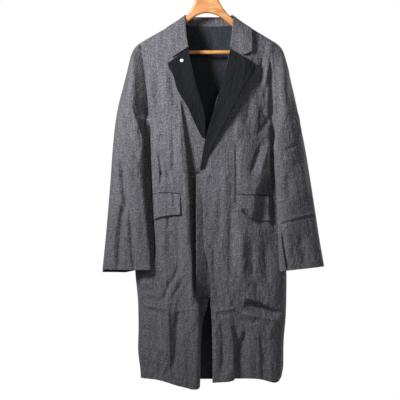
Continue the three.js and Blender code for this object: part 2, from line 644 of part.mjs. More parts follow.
// The back, from the left side across to the right side.
class Back {
  constructor() {
    const shares = BACK_SHOULDER_SHARES;
    const leftNeckX = NECK_CENTRE_X - NECK_HALF_WIDTH;
    const rightNeckX = NECK_CENTRE_X + NECK_HALF_WIDTH;
    const leftEnd = edgeLeft[0].x;
    const rightEnd = edgeRight[0].x;
    this.topX = shares.map((share) => lerp(leftEnd, leftNeckX, share));
    for (let i = 1; i < BACK_NECK_COLUMNS; i += 1) {
      this.topX.push(NECK_CENTRE_X - NECK_HALF_WIDTH * Math.cos((i * Math.PI) / BACK_NECK_COLUMNS));
    }
    for (let i = shares.length - 1; i >= 0; i -= 1) {
      this.topX.push(lerp(rightEnd, rightNeckX, shares[i]));
    }
  }

  columns() {
    return this.topX.length - 1;
  }

  // Drop of the shoulder seams and the neckline at one x of the top row.
  topDrop(x) {
    const away = Math.abs(x - NECK_CENTRE_X) / NECK_HALF_WIDTH;
    if (away <= 1) {
      return NECK_BACK_DROP - (NECK_BACK_DROP - NECK_TOP_DROP) * away ** 2;
    }
    const end = x < 0 ? edgeLeft[0] : edgeRight[0];
    const neckX = NECK_CENTRE_X + Math.sign(x) * NECK_HALF_WIDTH;
    return lerp(NECK_TOP_DROP, end.drop, (x - neckX) / (end.x - neckX));
  }

  point(column, row) {
    const last = this.columns();
    if (row < 0) {
      const inside = this.point(column, -row);
      const onSeam = Math.abs(this.topX[column] - NECK_CENTRE_X) > NECK_HALF_WIDTH - 1;
      return onSeam
        ? new THREE.Vector3(inside.x, -inside.y, inside.z)
        : this.point(column, 0).multiplyScalar(2).sub(inside);
    }
    if (column < 0 || column > last) {
      const inside = column < 0 ? -column : 2 * last - column;
      const mirrored = this.point(inside, row);
      const end = this.point(column < 0 ? 0 : last, row);
      return row >= UNDERARM_ROW
        ? new THREE.Vector3(mirrored.x, -mirrored.y, mirrored.z)
        : end.multiplyScalar(2).sub(mirrored);
    }
    const topX = this.topX[column];
    const across = (topX - edgeLeft[0].x) / (edgeRight[0].x - edgeLeft[0].x);
    const leftX = at(edgeLeft, "row", "x", row);
    const rightX = at(edgeRight, "row", "x", row);
    const x = lerp(leftX, rightX, across);
    const edgeDrop = lerp(at(edgeLeft, "row", "drop", row), at(edgeRight, "row", "drop", row), across);
    const seamDrop = lerp(edgeLeft[0].drop, edgeRight[0].drop, across);
    const lowered = clamp((edgeDrop - seamDrop) / (edgeLeft[UNDERARM_ROW].drop - edgeLeft[0].drop), 0, 1);
    const share = Math.abs(2 * across - 1);
    const nearHem = clamp((row - PACKING_FOLD_ROW) / (HEM_ROW - PACKING_FOLD_ROW), 0, 1);
    const hemDip = BACK_HEM_DIP * (1 - share ** 2) * nearHem ** 2;
    const drop = edgeDrop - (seamDrop - this.topDrop(topX)) * (1 - lowered) + hemDip;
    const side = across < 0.5 ? edgeLeft : edgeRight;
    const armholeOut = at(side, "row", "out", Math.min(row, UNDERARM_ROW)) * BACK_ARMHOLE_SHARE;
    const edgeOut = Math.max(armholeOut, SEAM_GAP / 2);
    const away = Math.min(Math.abs(topX - NECK_CENTRE_X) / NECK_HALF_WIDTH, 1);
    const neck = neckOut(away) * at(backDepth, "row", "neckShare", row);
    const main = lerp(edgeOut, at(backDepth, "row", "out", row), bow(share, row)) + neck;
    const settled = clamp(row - 3, 0, 1) * (1 - share ** 4);
    return new THREE.Vector3(x, main + relief(backFolds, x, drop) * settled, -drop);
  }
}

const backPanel = new Back();

// Grids of places on both faces of a cloth wall. "point" also answers one step
// outside the grid, which gives the slope at the edges.
function faces(rows, columns, point, facing) {
  const outer = [];
  const inner = [];
  for (let row = 0; row <= rows; row += 1) {
    outer.push([]);
    inner.push([]);
    for (let column = 0; column <= columns; column += 1) {
      const place = point(column, row);
      const across = point(column + 1, row).sub(point(column - 1, row));
      const down = point(column, row + 1).sub(point(column, row - 1));
      const normal = across.cross(down).normalize().multiplyScalar(facing);
      outer[row].push(place);
      inner[row].push(place.clone().addScaledVector(normal, -WALL));
    }
  }
  return { outer, inner };
}

// A closed wall between an outer and an inner grid of places.
function wall({ outer, inner }) {
  const rows = outer.length;
  const columns = outer[0].length;
  const places = [...outer.flat(), ...inner.flat()];
  const back = rows * columns;
  const triangles = [];
  const quad = (a, b, c, d) => triangles.push(a, b, c, a, c, d);
  const index = (row, column) => row * columns + column;
  for (let row = 0; row < rows - 1; row += 1) {
    for (let column = 0; column < columns - 1; column += 1) {
      const a = index(row, column);
      const b = index(row, column + 1);
      const c = index(row + 1, column + 1);
      const d = index(row + 1, column);
      quad(a, b, c, d);
      quad(back + d, back + c, back + b, back + a);
    }
  }
  for (let column = 0; column < columns - 1; column += 1) {
    const top = index(0, column);
    const bottom = index(rows - 1, column);
    quad(top + 1, top, back + top, back + top + 1);
    quad(bottom, bottom + 1, back + bottom + 1, back + bottom);
  }
  for (let row = 0; row < rows - 1; row += 1) {
    const left = index(row, 0);
    const right = index(row, columns - 1);
    quad(left, left + columns, back + left + columns, back + left);
    quad(right + columns, right, back + right, back + right + columns);
  }
  let volume = 0;
  for (let i = 0; i < triangles.length; i += 3) {
    const [a, b, c] = [places[triangles[i]], places[triangles[i + 1]], places[triangles[i + 2]]];
    volume += a.dot(b.clone().cross(c));
  }
  if (volume < 0) {
    triangles.reverse();
  }
  const geometry = new THREE.BufferGeometry();
  const numbers = places.flatMap((place) => [place.x, place.y, place.z]);
  geometry.setAttribute("position", new THREE.Float32BufferAttribute(numbers, 3));
  geometry.setIndex(triangles);
  return geometry;
}

const coat = new THREE.Group();

function add(name, geometry, material, position = [0, 0, 0], rotation = [0, 0, 0]) {
  const mesh = new THREE.Mesh(geometry, material);
  mesh.name = name;
  mesh.position.set(...position);
  mesh.rotation.set(...rotation);
  coat.add(mesh);
  return mesh;
}

const frontLeftFaces = faces(HEM_ROW, frontLeft.columns(), (c, r) => frontLeft.point(c, r), 1);
const frontRightFaces = faces(HEM_ROW, frontRight.columns(), (c, r) => frontRight.point(c, r), -1);
const backFaces = faces(HEM_ROW, backPanel.columns(), (c, r) => backPanel.point(c, r), 1);
add("front_left", wall(frontLeftFaces), linen);
add("front_right", wall(frontRightFaces), linen);
add("back", wall(backFaces), linen);

// Half a sleeve: "front" is +1 for the upper sleeve and -1 for the under sleeve.
// Its first ring is the armhole of the body, moved on by the gap of the seam.
function sleeveHalf(rings, armhole, front) {
  const halfPoint = (column, ring, side = 1) => {
    const row = rings[clamp(ring, 0, rings.length - 1)];
    const open = front * CUFF_VENT_SHARE * clamp(ring - rings.length + 3, 0, 1);
    const angle = (column / SLEEVE_HALF_COLUMNS) * (1 - open * front) + open * front;
    const turn = angle * Math.PI;
    const toOuter = (1 + Math.cos(turn)) / 2;
    const outerOut = SLEEVE_FORWARD_STEP * Math.max(rings.indexOf(row) - SLEEVE_FORWARD_RING, 0);
    const middleOut = lerp(row.innerOut, outerOut, toOuter);
    const taper = front > 0 ? 1 : toOuter ** (SLEEVE_INNER_TAPER * clamp((ring - 1) / 3, 0, 1));
    const depth = Math.sin(turn) * (front > 0 ? row.front : row.back) * taper;
    const x = lerp(row.innerX, row.outerX, toOuter);
    const drop = lerp(row.innerDrop, row.outerDrop, toOuter);
    return new THREE.Vector3(x, -middleOut - front * side * (depth + SEAM_GAP / 2), -drop);
  };
  const point = (column, ring) => {
    if (ring < 0) {
      const step = halfPoint(column, 1).sub(halfPoint(column, 0));
      return halfPoint(column, 0).sub(step);
    }
    if (ring > rings.length - 1) {
      const step = halfPoint(column, ring - 1).sub(halfPoint(column, ring - 2));
      return halfPoint(column, ring - 1).add(step);
    }
    if (column < 0 || column > SLEEVE_HALF_COLUMNS) {
      return halfPoint(column < 0 ? -column : 2 * SLEEVE_HALF_COLUMNS - column, ring, -1);
    }
    return halfPoint(column, ring);
  };
  const facing = front * Math.sign(rings[0].outerX);
  const tube = faces(rings.length - 1, SLEEVE_HALF_COLUMNS, point, facing);
  const ring = { outer: [], inner: [] };
  armhole.outer.forEach((place, column) => {
    const step = tube.outer[0][column].clone().sub(place).setLength(ARMHOLE_GAP);
    const bodyWall = armhole.inner[column].clone().sub(place);
    const sleeveWall = tube.inner[0][column].clone().sub(tube.outer[0][column]);
    const share = clamp((column - SHARED_SLOPE_COLUMNS) / 2, 0, 1);
    ring.outer.push(place.clone().add(step));
    ring.inner.push(place.clone().add(step).add(bodyWall.lerp(sleeveWall, share).setLength(WALL)));
  });
  return { outer: [ring.outer, ...tube.outer], inner: [ring.inner, ...tube.inner] };
}

function armholeOf(panel, column) {
  const take = (grid) => grid.slice(0, UNDERARM_ROW + 1).map((row) => row[column]);
  return { outer: take(panel.outer), inner: take(panel.inner) };
}

const frontHoleLeft = armholeOf(frontLeftFaces, frontLeft.columns());
const frontHoleRight = armholeOf(frontRightFaces, frontRight.columns());
const backHoleLeft = armholeOf(backFaces, 0);
const backHoleRight = armholeOf(backFaces, backPanel.columns());
add("upper_sleeve_left", wall(sleeveHalf(sleeveLeft, frontHoleLeft, 1)), linen);
add("under_sleeve_left", wall(sleeveHalf(sleeveLeft, backHoleLeft, -1)), linen);
add("upper_sleeve_right", wall(sleeveHalf(sleeveRight, frontHoleRight, 1)), linen);
add("under_sleeve_right", wall(sleeveHalf(sleeveRight, backHoleRight, -1)), linen);

// Where a collar station is sewn to the neckline, one gap above it.
function neckSeam(station) {
  let seam;
  if (station.side === "back") {
    const away = (station.neck - NECK_CENTRE_X) / NECK_HALF_WIDTH;
    const drop = NECK_BACK_DROP - (NECK_BACK_DROP - NECK_TOP_DROP) * away ** 2;
    seam = new THREE.Vector3(station.neck, neckOut(Math.abs(away)), -drop);
  } else {
    const front = station.side === "left" ? frontLeft : frontRight;
    seam = front.point(0, station.neck);
  }
  const toMiddle = Math.sign(NECK_CENTRE_X - seam.x) * (station.side === "back" ? 0 : SEAM_GAP);
  return seam.add(new THREE.Vector3(toMiddle, 0, COLLAR_GAP));
}

// The collar from the neck seam (0) up the stand, over the fold and down the fall (8).
function collarPoint(column, step) {
  const station = clamp(step / COLLAR_STEPS_PER_STATION, 0, collarStations.length - 1);
  const value = (name) => atIndex(collarTable, name, station);
  const seam = new THREE.Vector3(value("seamX"), value("seamY"), value("seamZ"));
  const fold = new THREE.Vector3(value("foldX"), -value("foldOut"), -value("foldDrop"));
  const middle = new THREE.Vector3(value("midX"), -value("midOut"), -value("midDrop"));
  const edge = new THREE.Vector3(value("edgeX"), -value("edgeOut"), -value("edgeDrop"));
  const outward = middle.clone().sub(seam).setZ(0).normalize();
  const half = outward.clone().multiplyScalar(COLLAR_FOLD_WIDTH / 2);
  const low = new THREE.Vector3(0, 0, -COLLAR_FOLD_WIDTH / 2);
  const standTop = fold.clone().sub(half).add(low);
  const fallTop = fold.clone().add(half).add(low);
  const route = [
    seam,
    seam.clone().lerp(standTop, 0.5),
    standTop,
    fold,
    fallTop,
    fallTop.clone().lerp(middle, 0.5),
    middle,
    middle.clone().lerp(edge, 0.5),
    edge,
  ];
  const last = route.length - 1;
  if (column < 0) {
    return route[0].multiplyScalar(2).sub(route[1]);
  }
  return column > last ? route[last].multiplyScalar(2).sub(route[last - 1]) : route[column];
}

const collarTable = collarStations.map((station) => {
  const seam = neckSeam(station);
  return { ...station, seamX: seam.x, seamY: seam.y, seamZ: seam.z };
});
const collarSteps = (collarStations.length - 1) * COLLAR_STEPS_PER_STATION;

function collarGrid(column, step) {
  if (step < 0) {
    return collarPoint(column, 0).multiplyScalar(2).sub(collarPoint(column, 1));
  }
  if (step > collarSteps) {
    return collarPoint(column, collarSteps).multiplyScalar(2).sub(collarPoint(column, collarSteps - 1));
  }
  return collarPoint(column, step);
}

add("collar", wall(faces(collarSteps, COLLAR_COLUMNS, collarGrid, -1)), linen);

// A layer on a front: columns run along "along", rows across, moved out of the panel.
function layerOn(front, place, lift) {
  return (column, row) => {
    const { x, drop } = place(column, row);
    const onFront = front.find(x, drop);
    onFront.y -= WALL + LAYER_GAP + lift(column, row);
    return onFront;
  };
}

function lapel(front, table) {
  const share = (row) => clamp(row / LAPEL_ROWS, -0.1, 1.1) * (table.length - 1);
  const place = (column, row) => {
    const out = column / LAPEL_COLUMNS;
    const value = (name) => atIndex(table, name, share(row));
    return {
      x: lerp(value("rollX"), value("edgeX"), out),
      drop: lerp(value("rollDrop"), value("edgeDrop"), out),
    };
  };
  const lift = (column, row) => {
    const out = clamp(column / LAPEL_COLUMNS, 0, 1);
    const nearRoll = Math.exp(-(((out - ROLL_SHARE) / ROLL_SPREAD) ** 2));
    const towardsEnds = Math.sin((Math.PI * clamp(row, 0, LAPEL_ROWS)) / LAPEL_ROWS);
    const edgeLift = Math.max(atIndex(table, "lift", share(row)), 0) * out ** 1.5;
    return ROLL_HEIGHT * nearRoll * towardsEnds + edgeLift;
  };
  return layerOn(front, place, lift);
}

add("lapel_left", wall(faces(LAPEL_ROWS, LAPEL_COLUMNS, lapel(frontLeft, lapelLeft), 1)), reverse);
add("lapel_right", wall(faces(LAPEL_ROWS, LAPEL_COLUMNS, lapel(frontRight, lapelRight), -1)), reverse);

function flap(front, table) {
  const station = (column) => (column / FLAP_COLUMNS) * (table.length - 1);
  const place = (column, row) => {
    const down = row / FLAP_ROWS;
    const value = (name) => atIndex(table, name, station(column));
    return {
      x: lerp(value("topX"), value("lowX"), down),
      drop: lerp(value("topDrop"), value("lowDrop"), down),
    };
  };
  const lift = (column, row) => {
    const down = clamp(row / FLAP_ROWS, 0, 1);
    return LAYER_GAP + Math.max(atIndex(table, "lift", station(column)), 0) * down ** 1.3;
  };
  return layerOn(front, place, lift);
}

add("pocket_flap_left", wall(faces(FLAP_ROWS, FLAP_COLUMNS, flap(frontLeft, flapLeft), -1)), linen);
add("pocket_flap_right", wall(faces(FLAP_ROWS, FLAP_COLUMNS, flap(frontRight, flapRight), -1)), linen);

// The fly strip follows the right front from behind and shows beside its edge.
function flyPoint(column, row) {
  const x = lerp(FLY_OUTER_X, FLY_INNER_X, column / FLY_COLUMNS);
  const drop = lerp(FLY_TOP_DROP, FLY_BOTTOM_DROP, row / FLY_ROWS);
  const behind = frontRight.find(x, drop);
  behind.y += WALL + 2 * LAYER_GAP;
  return behind;
}

add("fly_strip", wall(faces(FLY_ROWS, FLY_COLUMNS, flyPoint, -1)), linen);

// Press stud: a flat round cap on the left lapel.
function studGeometry() {
  const radius = STUD_DIAMETER / 2;
  const profile = [
    new THREE.Vector2(0, 0),
    new THREE.Vector2(radius, 0),
    new THREE.Vector2(radius, STUD_HEIGHT * 0.45),
    new THREE.Vector2(radius * 0.8, STUD_HEIGHT * 0.85),
    new THREE.Vector2(radius * 0.5, STUD_HEIGHT),
    new THREE.Vector2(0, STUD_HEIGHT * 0.9),
  ];
  return closed(new THREE.LatheGeometry(profile, 24));
}

// The same geometry with its shared vertices merged into one closed skin.
function closed(geometry) {
  const bare = geometry.clone();
  bare.deleteAttribute("normal");
  bare.deleteAttribute("uv");
  return mergeVertices(bare, 1e-4);
}

// Outer face of the left lapel nearest to the stud, with its slope.
function onLapel(grid, x, drop) {
  let best = { distance: Infinity };
  for (let row = 1; row < LAPEL_ROWS; row += 0.1) {
    for (let column = 1; column < LAPEL_COLUMNS; column += 0.1) {
      const place = grid(column, row);
      const distance = Math.hypot(place.x - x, place.z + drop);
      if (distance < best.distance) {
        best = { distance, row, column, place };
      }
    }
  }
  const across = grid(best.column + 1, best.row).sub(grid(best.column - 1, best.row));
  const down = grid(best.column, best.row + 1).sub(grid(best.column, best.row - 1));
  const normal = across.cross(down).normalize();
  return { place: best.place, normal: normal.y > 0 ? normal.negate() : normal };
}

const seat = onLapel(lapel(frontLeft, lapelLeft), STUD_X, STUD_DROP);
const stud = add("press_stud", studGeometry(), steel);
stud.position.copy(seat.place).addScaledVector(seat.normal, STUD_GAP);
stud.quaternion.setFromUnitVectors(new THREE.Vector3(0, 1, 0), seat.normal);

// Hanger. The yoke's top edge runs just under the shoulder seams of the coat.
function yokeTopDrop(x) {
  return backPanel.topDrop(x) + YOKE_UNDER_CLOTH;
}

function yokeOutline() {
  const outline = new THREE.Shape();
  const roundEnd = (side) => {
    const endX = side * YOKE_REACH;
    const roundX = side * (YOKE_REACH - YOKE_END_ROUND);
    return { endX, roundX, endDrop: yokeTopDrop(endX), roundDrop: yokeTopDrop(roundX) };
  };
  const curve = ({ viaX, viaDrop, x, drop }) => outline.quadraticCurveTo(viaX, -viaDrop, x, -drop);
  const rightSeat = NECK_CENTRE_X + NECK_HALF_WIDTH;
  const leftSeat = NECK_CENTRE_X - NECK_HALF_WIDTH;
  const right = roundEnd(1);
  const left = roundEnd(-1);
  outline.moveTo(0, -YOKE_TOP_DROP);
  yokeNeckRight.forEach(curve);
  outline.lineTo(rightSeat, -yokeTopDrop(rightSeat));
  outline.lineTo(right.roundX, -right.roundDrop);
  const belowEnd = right.endDrop + YOKE_END_ROUND;
  curve({ viaX: right.endX, viaDrop: right.endDrop, x: right.endX, drop: belowEnd });
  outline.lineTo(right.endX, -YOKE_FOOT_DROP);
  outline.lineTo(right.endX - YOKE_FOOT_WIDTH, -YOKE_FOOT_DROP);
  yokeArch.forEach(curve);
  outline.lineTo(left.endX, -YOKE_FOOT_DROP);
  outline.lineTo(left.endX, -left.endDrop - YOKE_END_ROUND);
  curve({ viaX: left.endX, viaDrop: left.endDrop, x: left.roundX, drop: left.roundDrop });
  outline.lineTo(leftSeat, -yokeTopDrop(leftSeat));
  yokeNeckLeft.forEach(curve);
  return outline;
}

// An outline drawn in x and z, extruded along y to both sides of the hanger's plane.
function slab(outline, thickness, round) {
  const geometry = new THREE.ExtrudeGeometry(outline, {
    depth: thickness - 2 * round,
    bevelEnabled: true,
    bevelThickness: round,
    bevelSize: round,
    bevelOffset: -round,
    bevelSegments: 2,
    curveSegments: 6,
  });
  geometry.translate(0, 0, round - thickness / 2);
  geometry.rotateX(Math.PI / 2);
  return geometry;
}

function solidOf(geometry) {
  const { position } = geometry.attributes;
  const mesh = new wasm.Mesh({
    numProp: 3,
    vertProperties: new Float32Array(position.array),
    triVerts: new Uint32Array(geometry.index.array),
  });
  return new wasm.Manifold(mesh);
}

function geometryOf(solid) {
  const { vertProperties, triVerts } = solid.getMesh();
  const geometry = new THREE.BufferGeometry();
  geometry.setAttribute("position", new THREE.BufferAttribute(vertProperties, 3));
  geometry.setIndex(new THREE.BufferAttribute(triVerts, 1));
  return geometry;
}

function rod(diameter, length, sides) {
  return closed(new THREE.CylinderGeometry(diameter / 2, diameter / 2, length, sides));
}

function yoke() {
  const body = solidOf(closed(slab(yokeOutline(), YOKE_THICKNESS, YOKE_EDGE_ROUND)));
  const barHole = rod(BAR_DIAMETER + 2 * HOLE_GAP, BAR_LENGTH + 2 * HOLE_GAP, 20);
  barHole.rotateZ(Math.PI / 2);
  barHole.translate(0, 0, -BAR_DROP);
  const stemHole = rod(WIRE_DIAMETER + 2 * HOLE_GAP, 2 * (STEM_IN_WOOD + HOLE_GAP), 16);
  stemHole.rotateX(Math.PI / 2);
  stemHole.translate(0, 0, -YOKE_TOP_DROP);
  return geometryOf(body.subtract(solidOf(barHole)).subtract(solidOf(stemHole)));
}

function hook() {
  const middleRadius = HOOK_INNER_RADIUS + WIRE_DIAMETER / 2;
  const places = [];
  for (let degrees = HOOK_TIP_DEGREES; degrees >= HOOK_ROOT_DEGREES; degrees -= HOOK_STEP_DEGREES) {
    const angle = THREE.MathUtils.degToRad(degrees);
    const x = middleRadius * Math.cos(angle);
    places.push(new THREE.Vector3(x, 0, middleRadius * Math.sin(angle) - HOOK_INNER_RADIUS));
  }
  for (const bend of stemBends) {
    places.push(new THREE.Vector3(bend.x, 0, -bend.drop));
  }
  places.push(new THREE.Vector3(0, 0, -YOKE_TOP_DROP - STEM_IN_WOOD));
  const section = new THREE.Shape();
  section.absarc(0, 0, WIRE_DIAMETER / 2, 0, 2 * Math.PI);
  const geometry = new THREE.ExtrudeGeometry(section, {
    steps: HOOK_STEPS,
    curveSegments: 5,
    extrudePath: new THREE.CatmullRomCurve3(places),
  });
  return closed(geometry);
}

add("hanger_yoke", yoke(), wood);
const bar = rod(BAR_DIAMETER, BAR_LENGTH, 20);
bar.rotateZ(Math.PI / 2);
add("hanger_bar", bar, wood, [0, 0, -BAR_DROP]);
add("hanger_hook", hook(), steel);

export default coat;
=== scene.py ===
"""Linen coat on a wooden hanger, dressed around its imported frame.

Blender's metres are the frame's. In the tables a place on the cloth is given as the
front view shows it, in millimetres: x to the right of the hook and drop below its rest.
"""

import logging
import math
from dataclasses import dataclass, field
from enum import Enum

import bmesh
import bpy
import numpy as np
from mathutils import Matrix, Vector, noise
from mathutils.bvhtree import BVHTree


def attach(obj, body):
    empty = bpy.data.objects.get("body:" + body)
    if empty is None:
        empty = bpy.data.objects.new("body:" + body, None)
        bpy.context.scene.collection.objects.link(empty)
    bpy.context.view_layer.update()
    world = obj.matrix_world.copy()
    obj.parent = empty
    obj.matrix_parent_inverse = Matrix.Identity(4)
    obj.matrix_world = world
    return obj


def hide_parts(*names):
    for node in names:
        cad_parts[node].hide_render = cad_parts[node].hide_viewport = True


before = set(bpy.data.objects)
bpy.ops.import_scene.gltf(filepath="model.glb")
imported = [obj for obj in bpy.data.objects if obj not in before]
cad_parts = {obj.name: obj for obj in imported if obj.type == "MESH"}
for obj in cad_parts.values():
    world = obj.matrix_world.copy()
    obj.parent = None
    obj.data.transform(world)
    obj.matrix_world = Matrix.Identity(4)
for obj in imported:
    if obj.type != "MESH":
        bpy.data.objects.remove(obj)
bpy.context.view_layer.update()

Socket = bpy.types.NodeSocket
Tree = bpy.types.NodeTree
Material = bpy.types.Material
Vertex = bmesh.types.BMVert
Face = bmesh.types.BMFace

MM = 0.001
WALL = 1.6 * MM
LAYER_GAP = 0.45 * MM
BODY = "root"

log = logging.getLogger("coat")


# ---------------------------------------------------------------- finishes


def linear(colour: str) -> tuple[float, float, float, float]:
    """Turns an sRGB hex colour to linear.

    Args:
        colour: six hex digits, such as "6b6872".

    Returns:
        Red, green, blue and alpha for a shader socket.
    """
    parts = [int(colour[i : i + 2], 16) / 255 for i in (0, 2, 4)]
    curve = [p / 12.92 if p <= 0.04045 else ((p + 0.055) / 1.055) ** 2.4 for p in parts]
    return (*curve, 1.0)


def add_node(
    tree: Tree,
    kind: str,
    settings: dict[str, object] | None = None,
    links: dict[str, Socket] | None = None,
) -> bpy.types.Node:
    """Adds a shader node with its settings and links.

    Args:
        tree: the tree that it goes into.
        kind: its type.
        settings: values for its properties or, by name or number, its inputs.
        links: the socket that feeds each input, by the input's name or number.

    Returns:
        The node.
    """
    made = tree.nodes.new(kind)
    for name, value in (settings or {}).items():
        if hasattr(made, name):
            setattr(made, name, value)
        else:
            made.inputs[int(name) if name.isdigit() else name].default_value = value
    for name, socket in (links or {}).items():
        tree.links.new(socket, made.inputs[int(name) if name.isdigit() else name])
    return made


def new_material(name: str) -> tuple[Material, Tree]:
    """Starts a material.

    Args:
        name: the material's name.

    Returns:
        The material and its tree, which is empty.
    """
    material = bpy.data.materials.new(name)
    material.use_nodes = True
    material.node_tree.nodes.clear()
    return material, material.node_tree


def noise_of(
    tree: Tree,
    place: Socket,
    size: tuple[float, float, float],
    detail: float,
    **settings: object,
) -> Socket:
    """Adds noise.

    Args:
        tree: the tree that it goes into.
        place: the map that it lies on.
        size: size of its cells along the map's axes.
        detail: how many finer layers it has.
        settings: the noise node's other settings.

    Returns:
        The noise's value.
    """
    scale = tuple(1 / step for step in size)
    scaled = add_node(tree, "ShaderNodeMapping", {"Scale": scale}, {"Vector": place})
    settings = {"Scale": 1.0, "Detail": detail, **settings}
    made = add_node(tree, "ShaderNodeTexNoise", settings, {"Vector": scaled.outputs[0]})
    return made.outputs["Fac"]


def colours_of(tree: Tree, tone: Socket, *stops: tuple[float, str]) -> Socket:
    """Turns a tone to colours.

    Args:
        tree: the tree that it goes into.
        tone: the tone, from 0 to 1.
        stops: tones in rising order, each with its colour as six hex digits.

    Returns:
        The colour.
    """
    ramp = add_node(tree, "ShaderNodeValToRGB", {}, {"Fac": tone})
    first, last = ramp.color_ramp.elements
    first.position, first.color = stops[0][0], linear(stops[0][1])
    last.position, last.color = stops[-1][0], linear(stops[-1][1])
    for position, colour in stops[1:-1]:
        ramp.color_ramp.elements.new(position).color = linear(colour)
    return ramp.outputs["Color"]


def bump_of(tree: Tree, height: Socket, strength: float, distance: float) -> Socket:
    """Normal of a surface that stands out by a height, up to a distance in metres."""
    settings = {"Strength": strength, "Distance": distance}
    return add_node(tree, "ShaderNodeBump", settings, {"Height": height}).outputs["Normal"]


def finished(
    material: Material, settings: dict[str, object], links: dict[str, Socket]
) -> Material:
    """Ends a material's tree with its shader.

    Args:
        material: the material.
        settings: the shader's plain values.
        links: the sockets that feed its other inputs.

    Returns:
        The material.
    """
    tree = material.node_tree
    shader = add_node(tree, "ShaderNodeBsdfPrincipled", settings, links)
    add_node(tree, "ShaderNodeOutputMaterial", {}, {"Surface": shader.outputs["BSDF"]})
    return material


@dataclass(frozen=True)
class WovenLinen:
    """Plain-woven slubbed linen, washed and matt, whose thick and thin yarns show as
    fine upright streaks crossed by fainter level ones."""

    name: str
    dark: str
    middle: str
    light: str
    roughness: float = 0.9
    sheen: float = 0.08
    contrast: float = 0.6
    pucker: float = 0.5
    slub_width: float = 2.6 * MM
    slub_length: float = 24 * MM
    band_width: float = 11 * MM
    band_length: float = 150 * MM
    # The real threads are 0.7 mm apart, too fine to show, so they are drawn twice as coarse.
    thread: float = 1.4 * MM
    crinkle: float = 7 * MM
    relief: float = 1.6 * MM

    def build(self) -> Material:
        """Makes the material. The pattern follows the cloth through its grain map.

        Returns:
            The material.
        """
        material, tree = new_material(self.name)
        grain = add_node(tree, "ShaderNodeUVMap", {"uv_map": "grain"}).outputs["UV"]

        def streaks(across: float, along: float, detail: float, form: str = "FBM") -> Socket:
            """Noise with cells that wide and long."""
            size = (across, along, 1.0)
            return noise_of(tree, grain, size, detail, noise_type=form, Roughness=0.6)

        def weighted(*parts: tuple[Socket, float]) -> Socket:
            """Adds values up.

            Args:
                parts: each value, which is about 0.5, with its weight.

            Returns:
                Their sum by weight, which is about 0.5 too.
            """
            start = 0.5 - sum(weight for _, weight in parts) / 2
            settings = {"operation": "MULTIPLY_ADD", "2": start}
            links = {}
            for socket, weight in parts:
                total = add_node(
                    tree, "ShaderNodeMath", settings | {"1": weight}, links | {"0": socket}
                )
                links = {"2": total.outputs[0]}
            return links["2"]

        warp_slub = streaks(self.slub_width, self.slub_length, 3)
        warp_band = streaks(self.band_width, self.band_length, 2)
        weft_slub = streaks(self.slub_length * 0.7, self.slub_width * 0.9, 2)
        speckle = streaks(self.thread * 1.6, self.thread * 3, 1)
        crinkles = streaks(self.crinkle, self.crinkle * 6, 2, "RIDGED_MULTIFRACTAL")
        puckers = streaks(self.crinkle * 1.6, self.crinkle * 2.2, 2)
        tone = weighted(
            (warp_slub, 1.2 * self.contrast),
            (warp_band, 0.7 * self.contrast),
            (weft_slub, 0.9 * self.contrast),
            (speckle, 2.6 * self.contrast),
        )
        height = weighted(
            (warp_slub, 0.3),
            (weft_slub, 0.15),
            (speckle, 0.2),
            (crinkles, 0.9),
            (puckers, self.pucker),
        )
        stops = ((0.2, self.dark), (0.5, self.middle), (0.85, self.light))
        return finished(
            material,
            {
                "Roughness": self.roughness,
                "Sheen Weight": self.sheen,
                "Sheen Roughness": 0.5,
                "IOR": 1.45,
                "Specular IOR Level": 0.25,
            },
            {
                "Base Color": colours_of(tree, tone, *stops),
                "Normal": bump_of(tree, height, 1.0, self.relief),
            },
        )


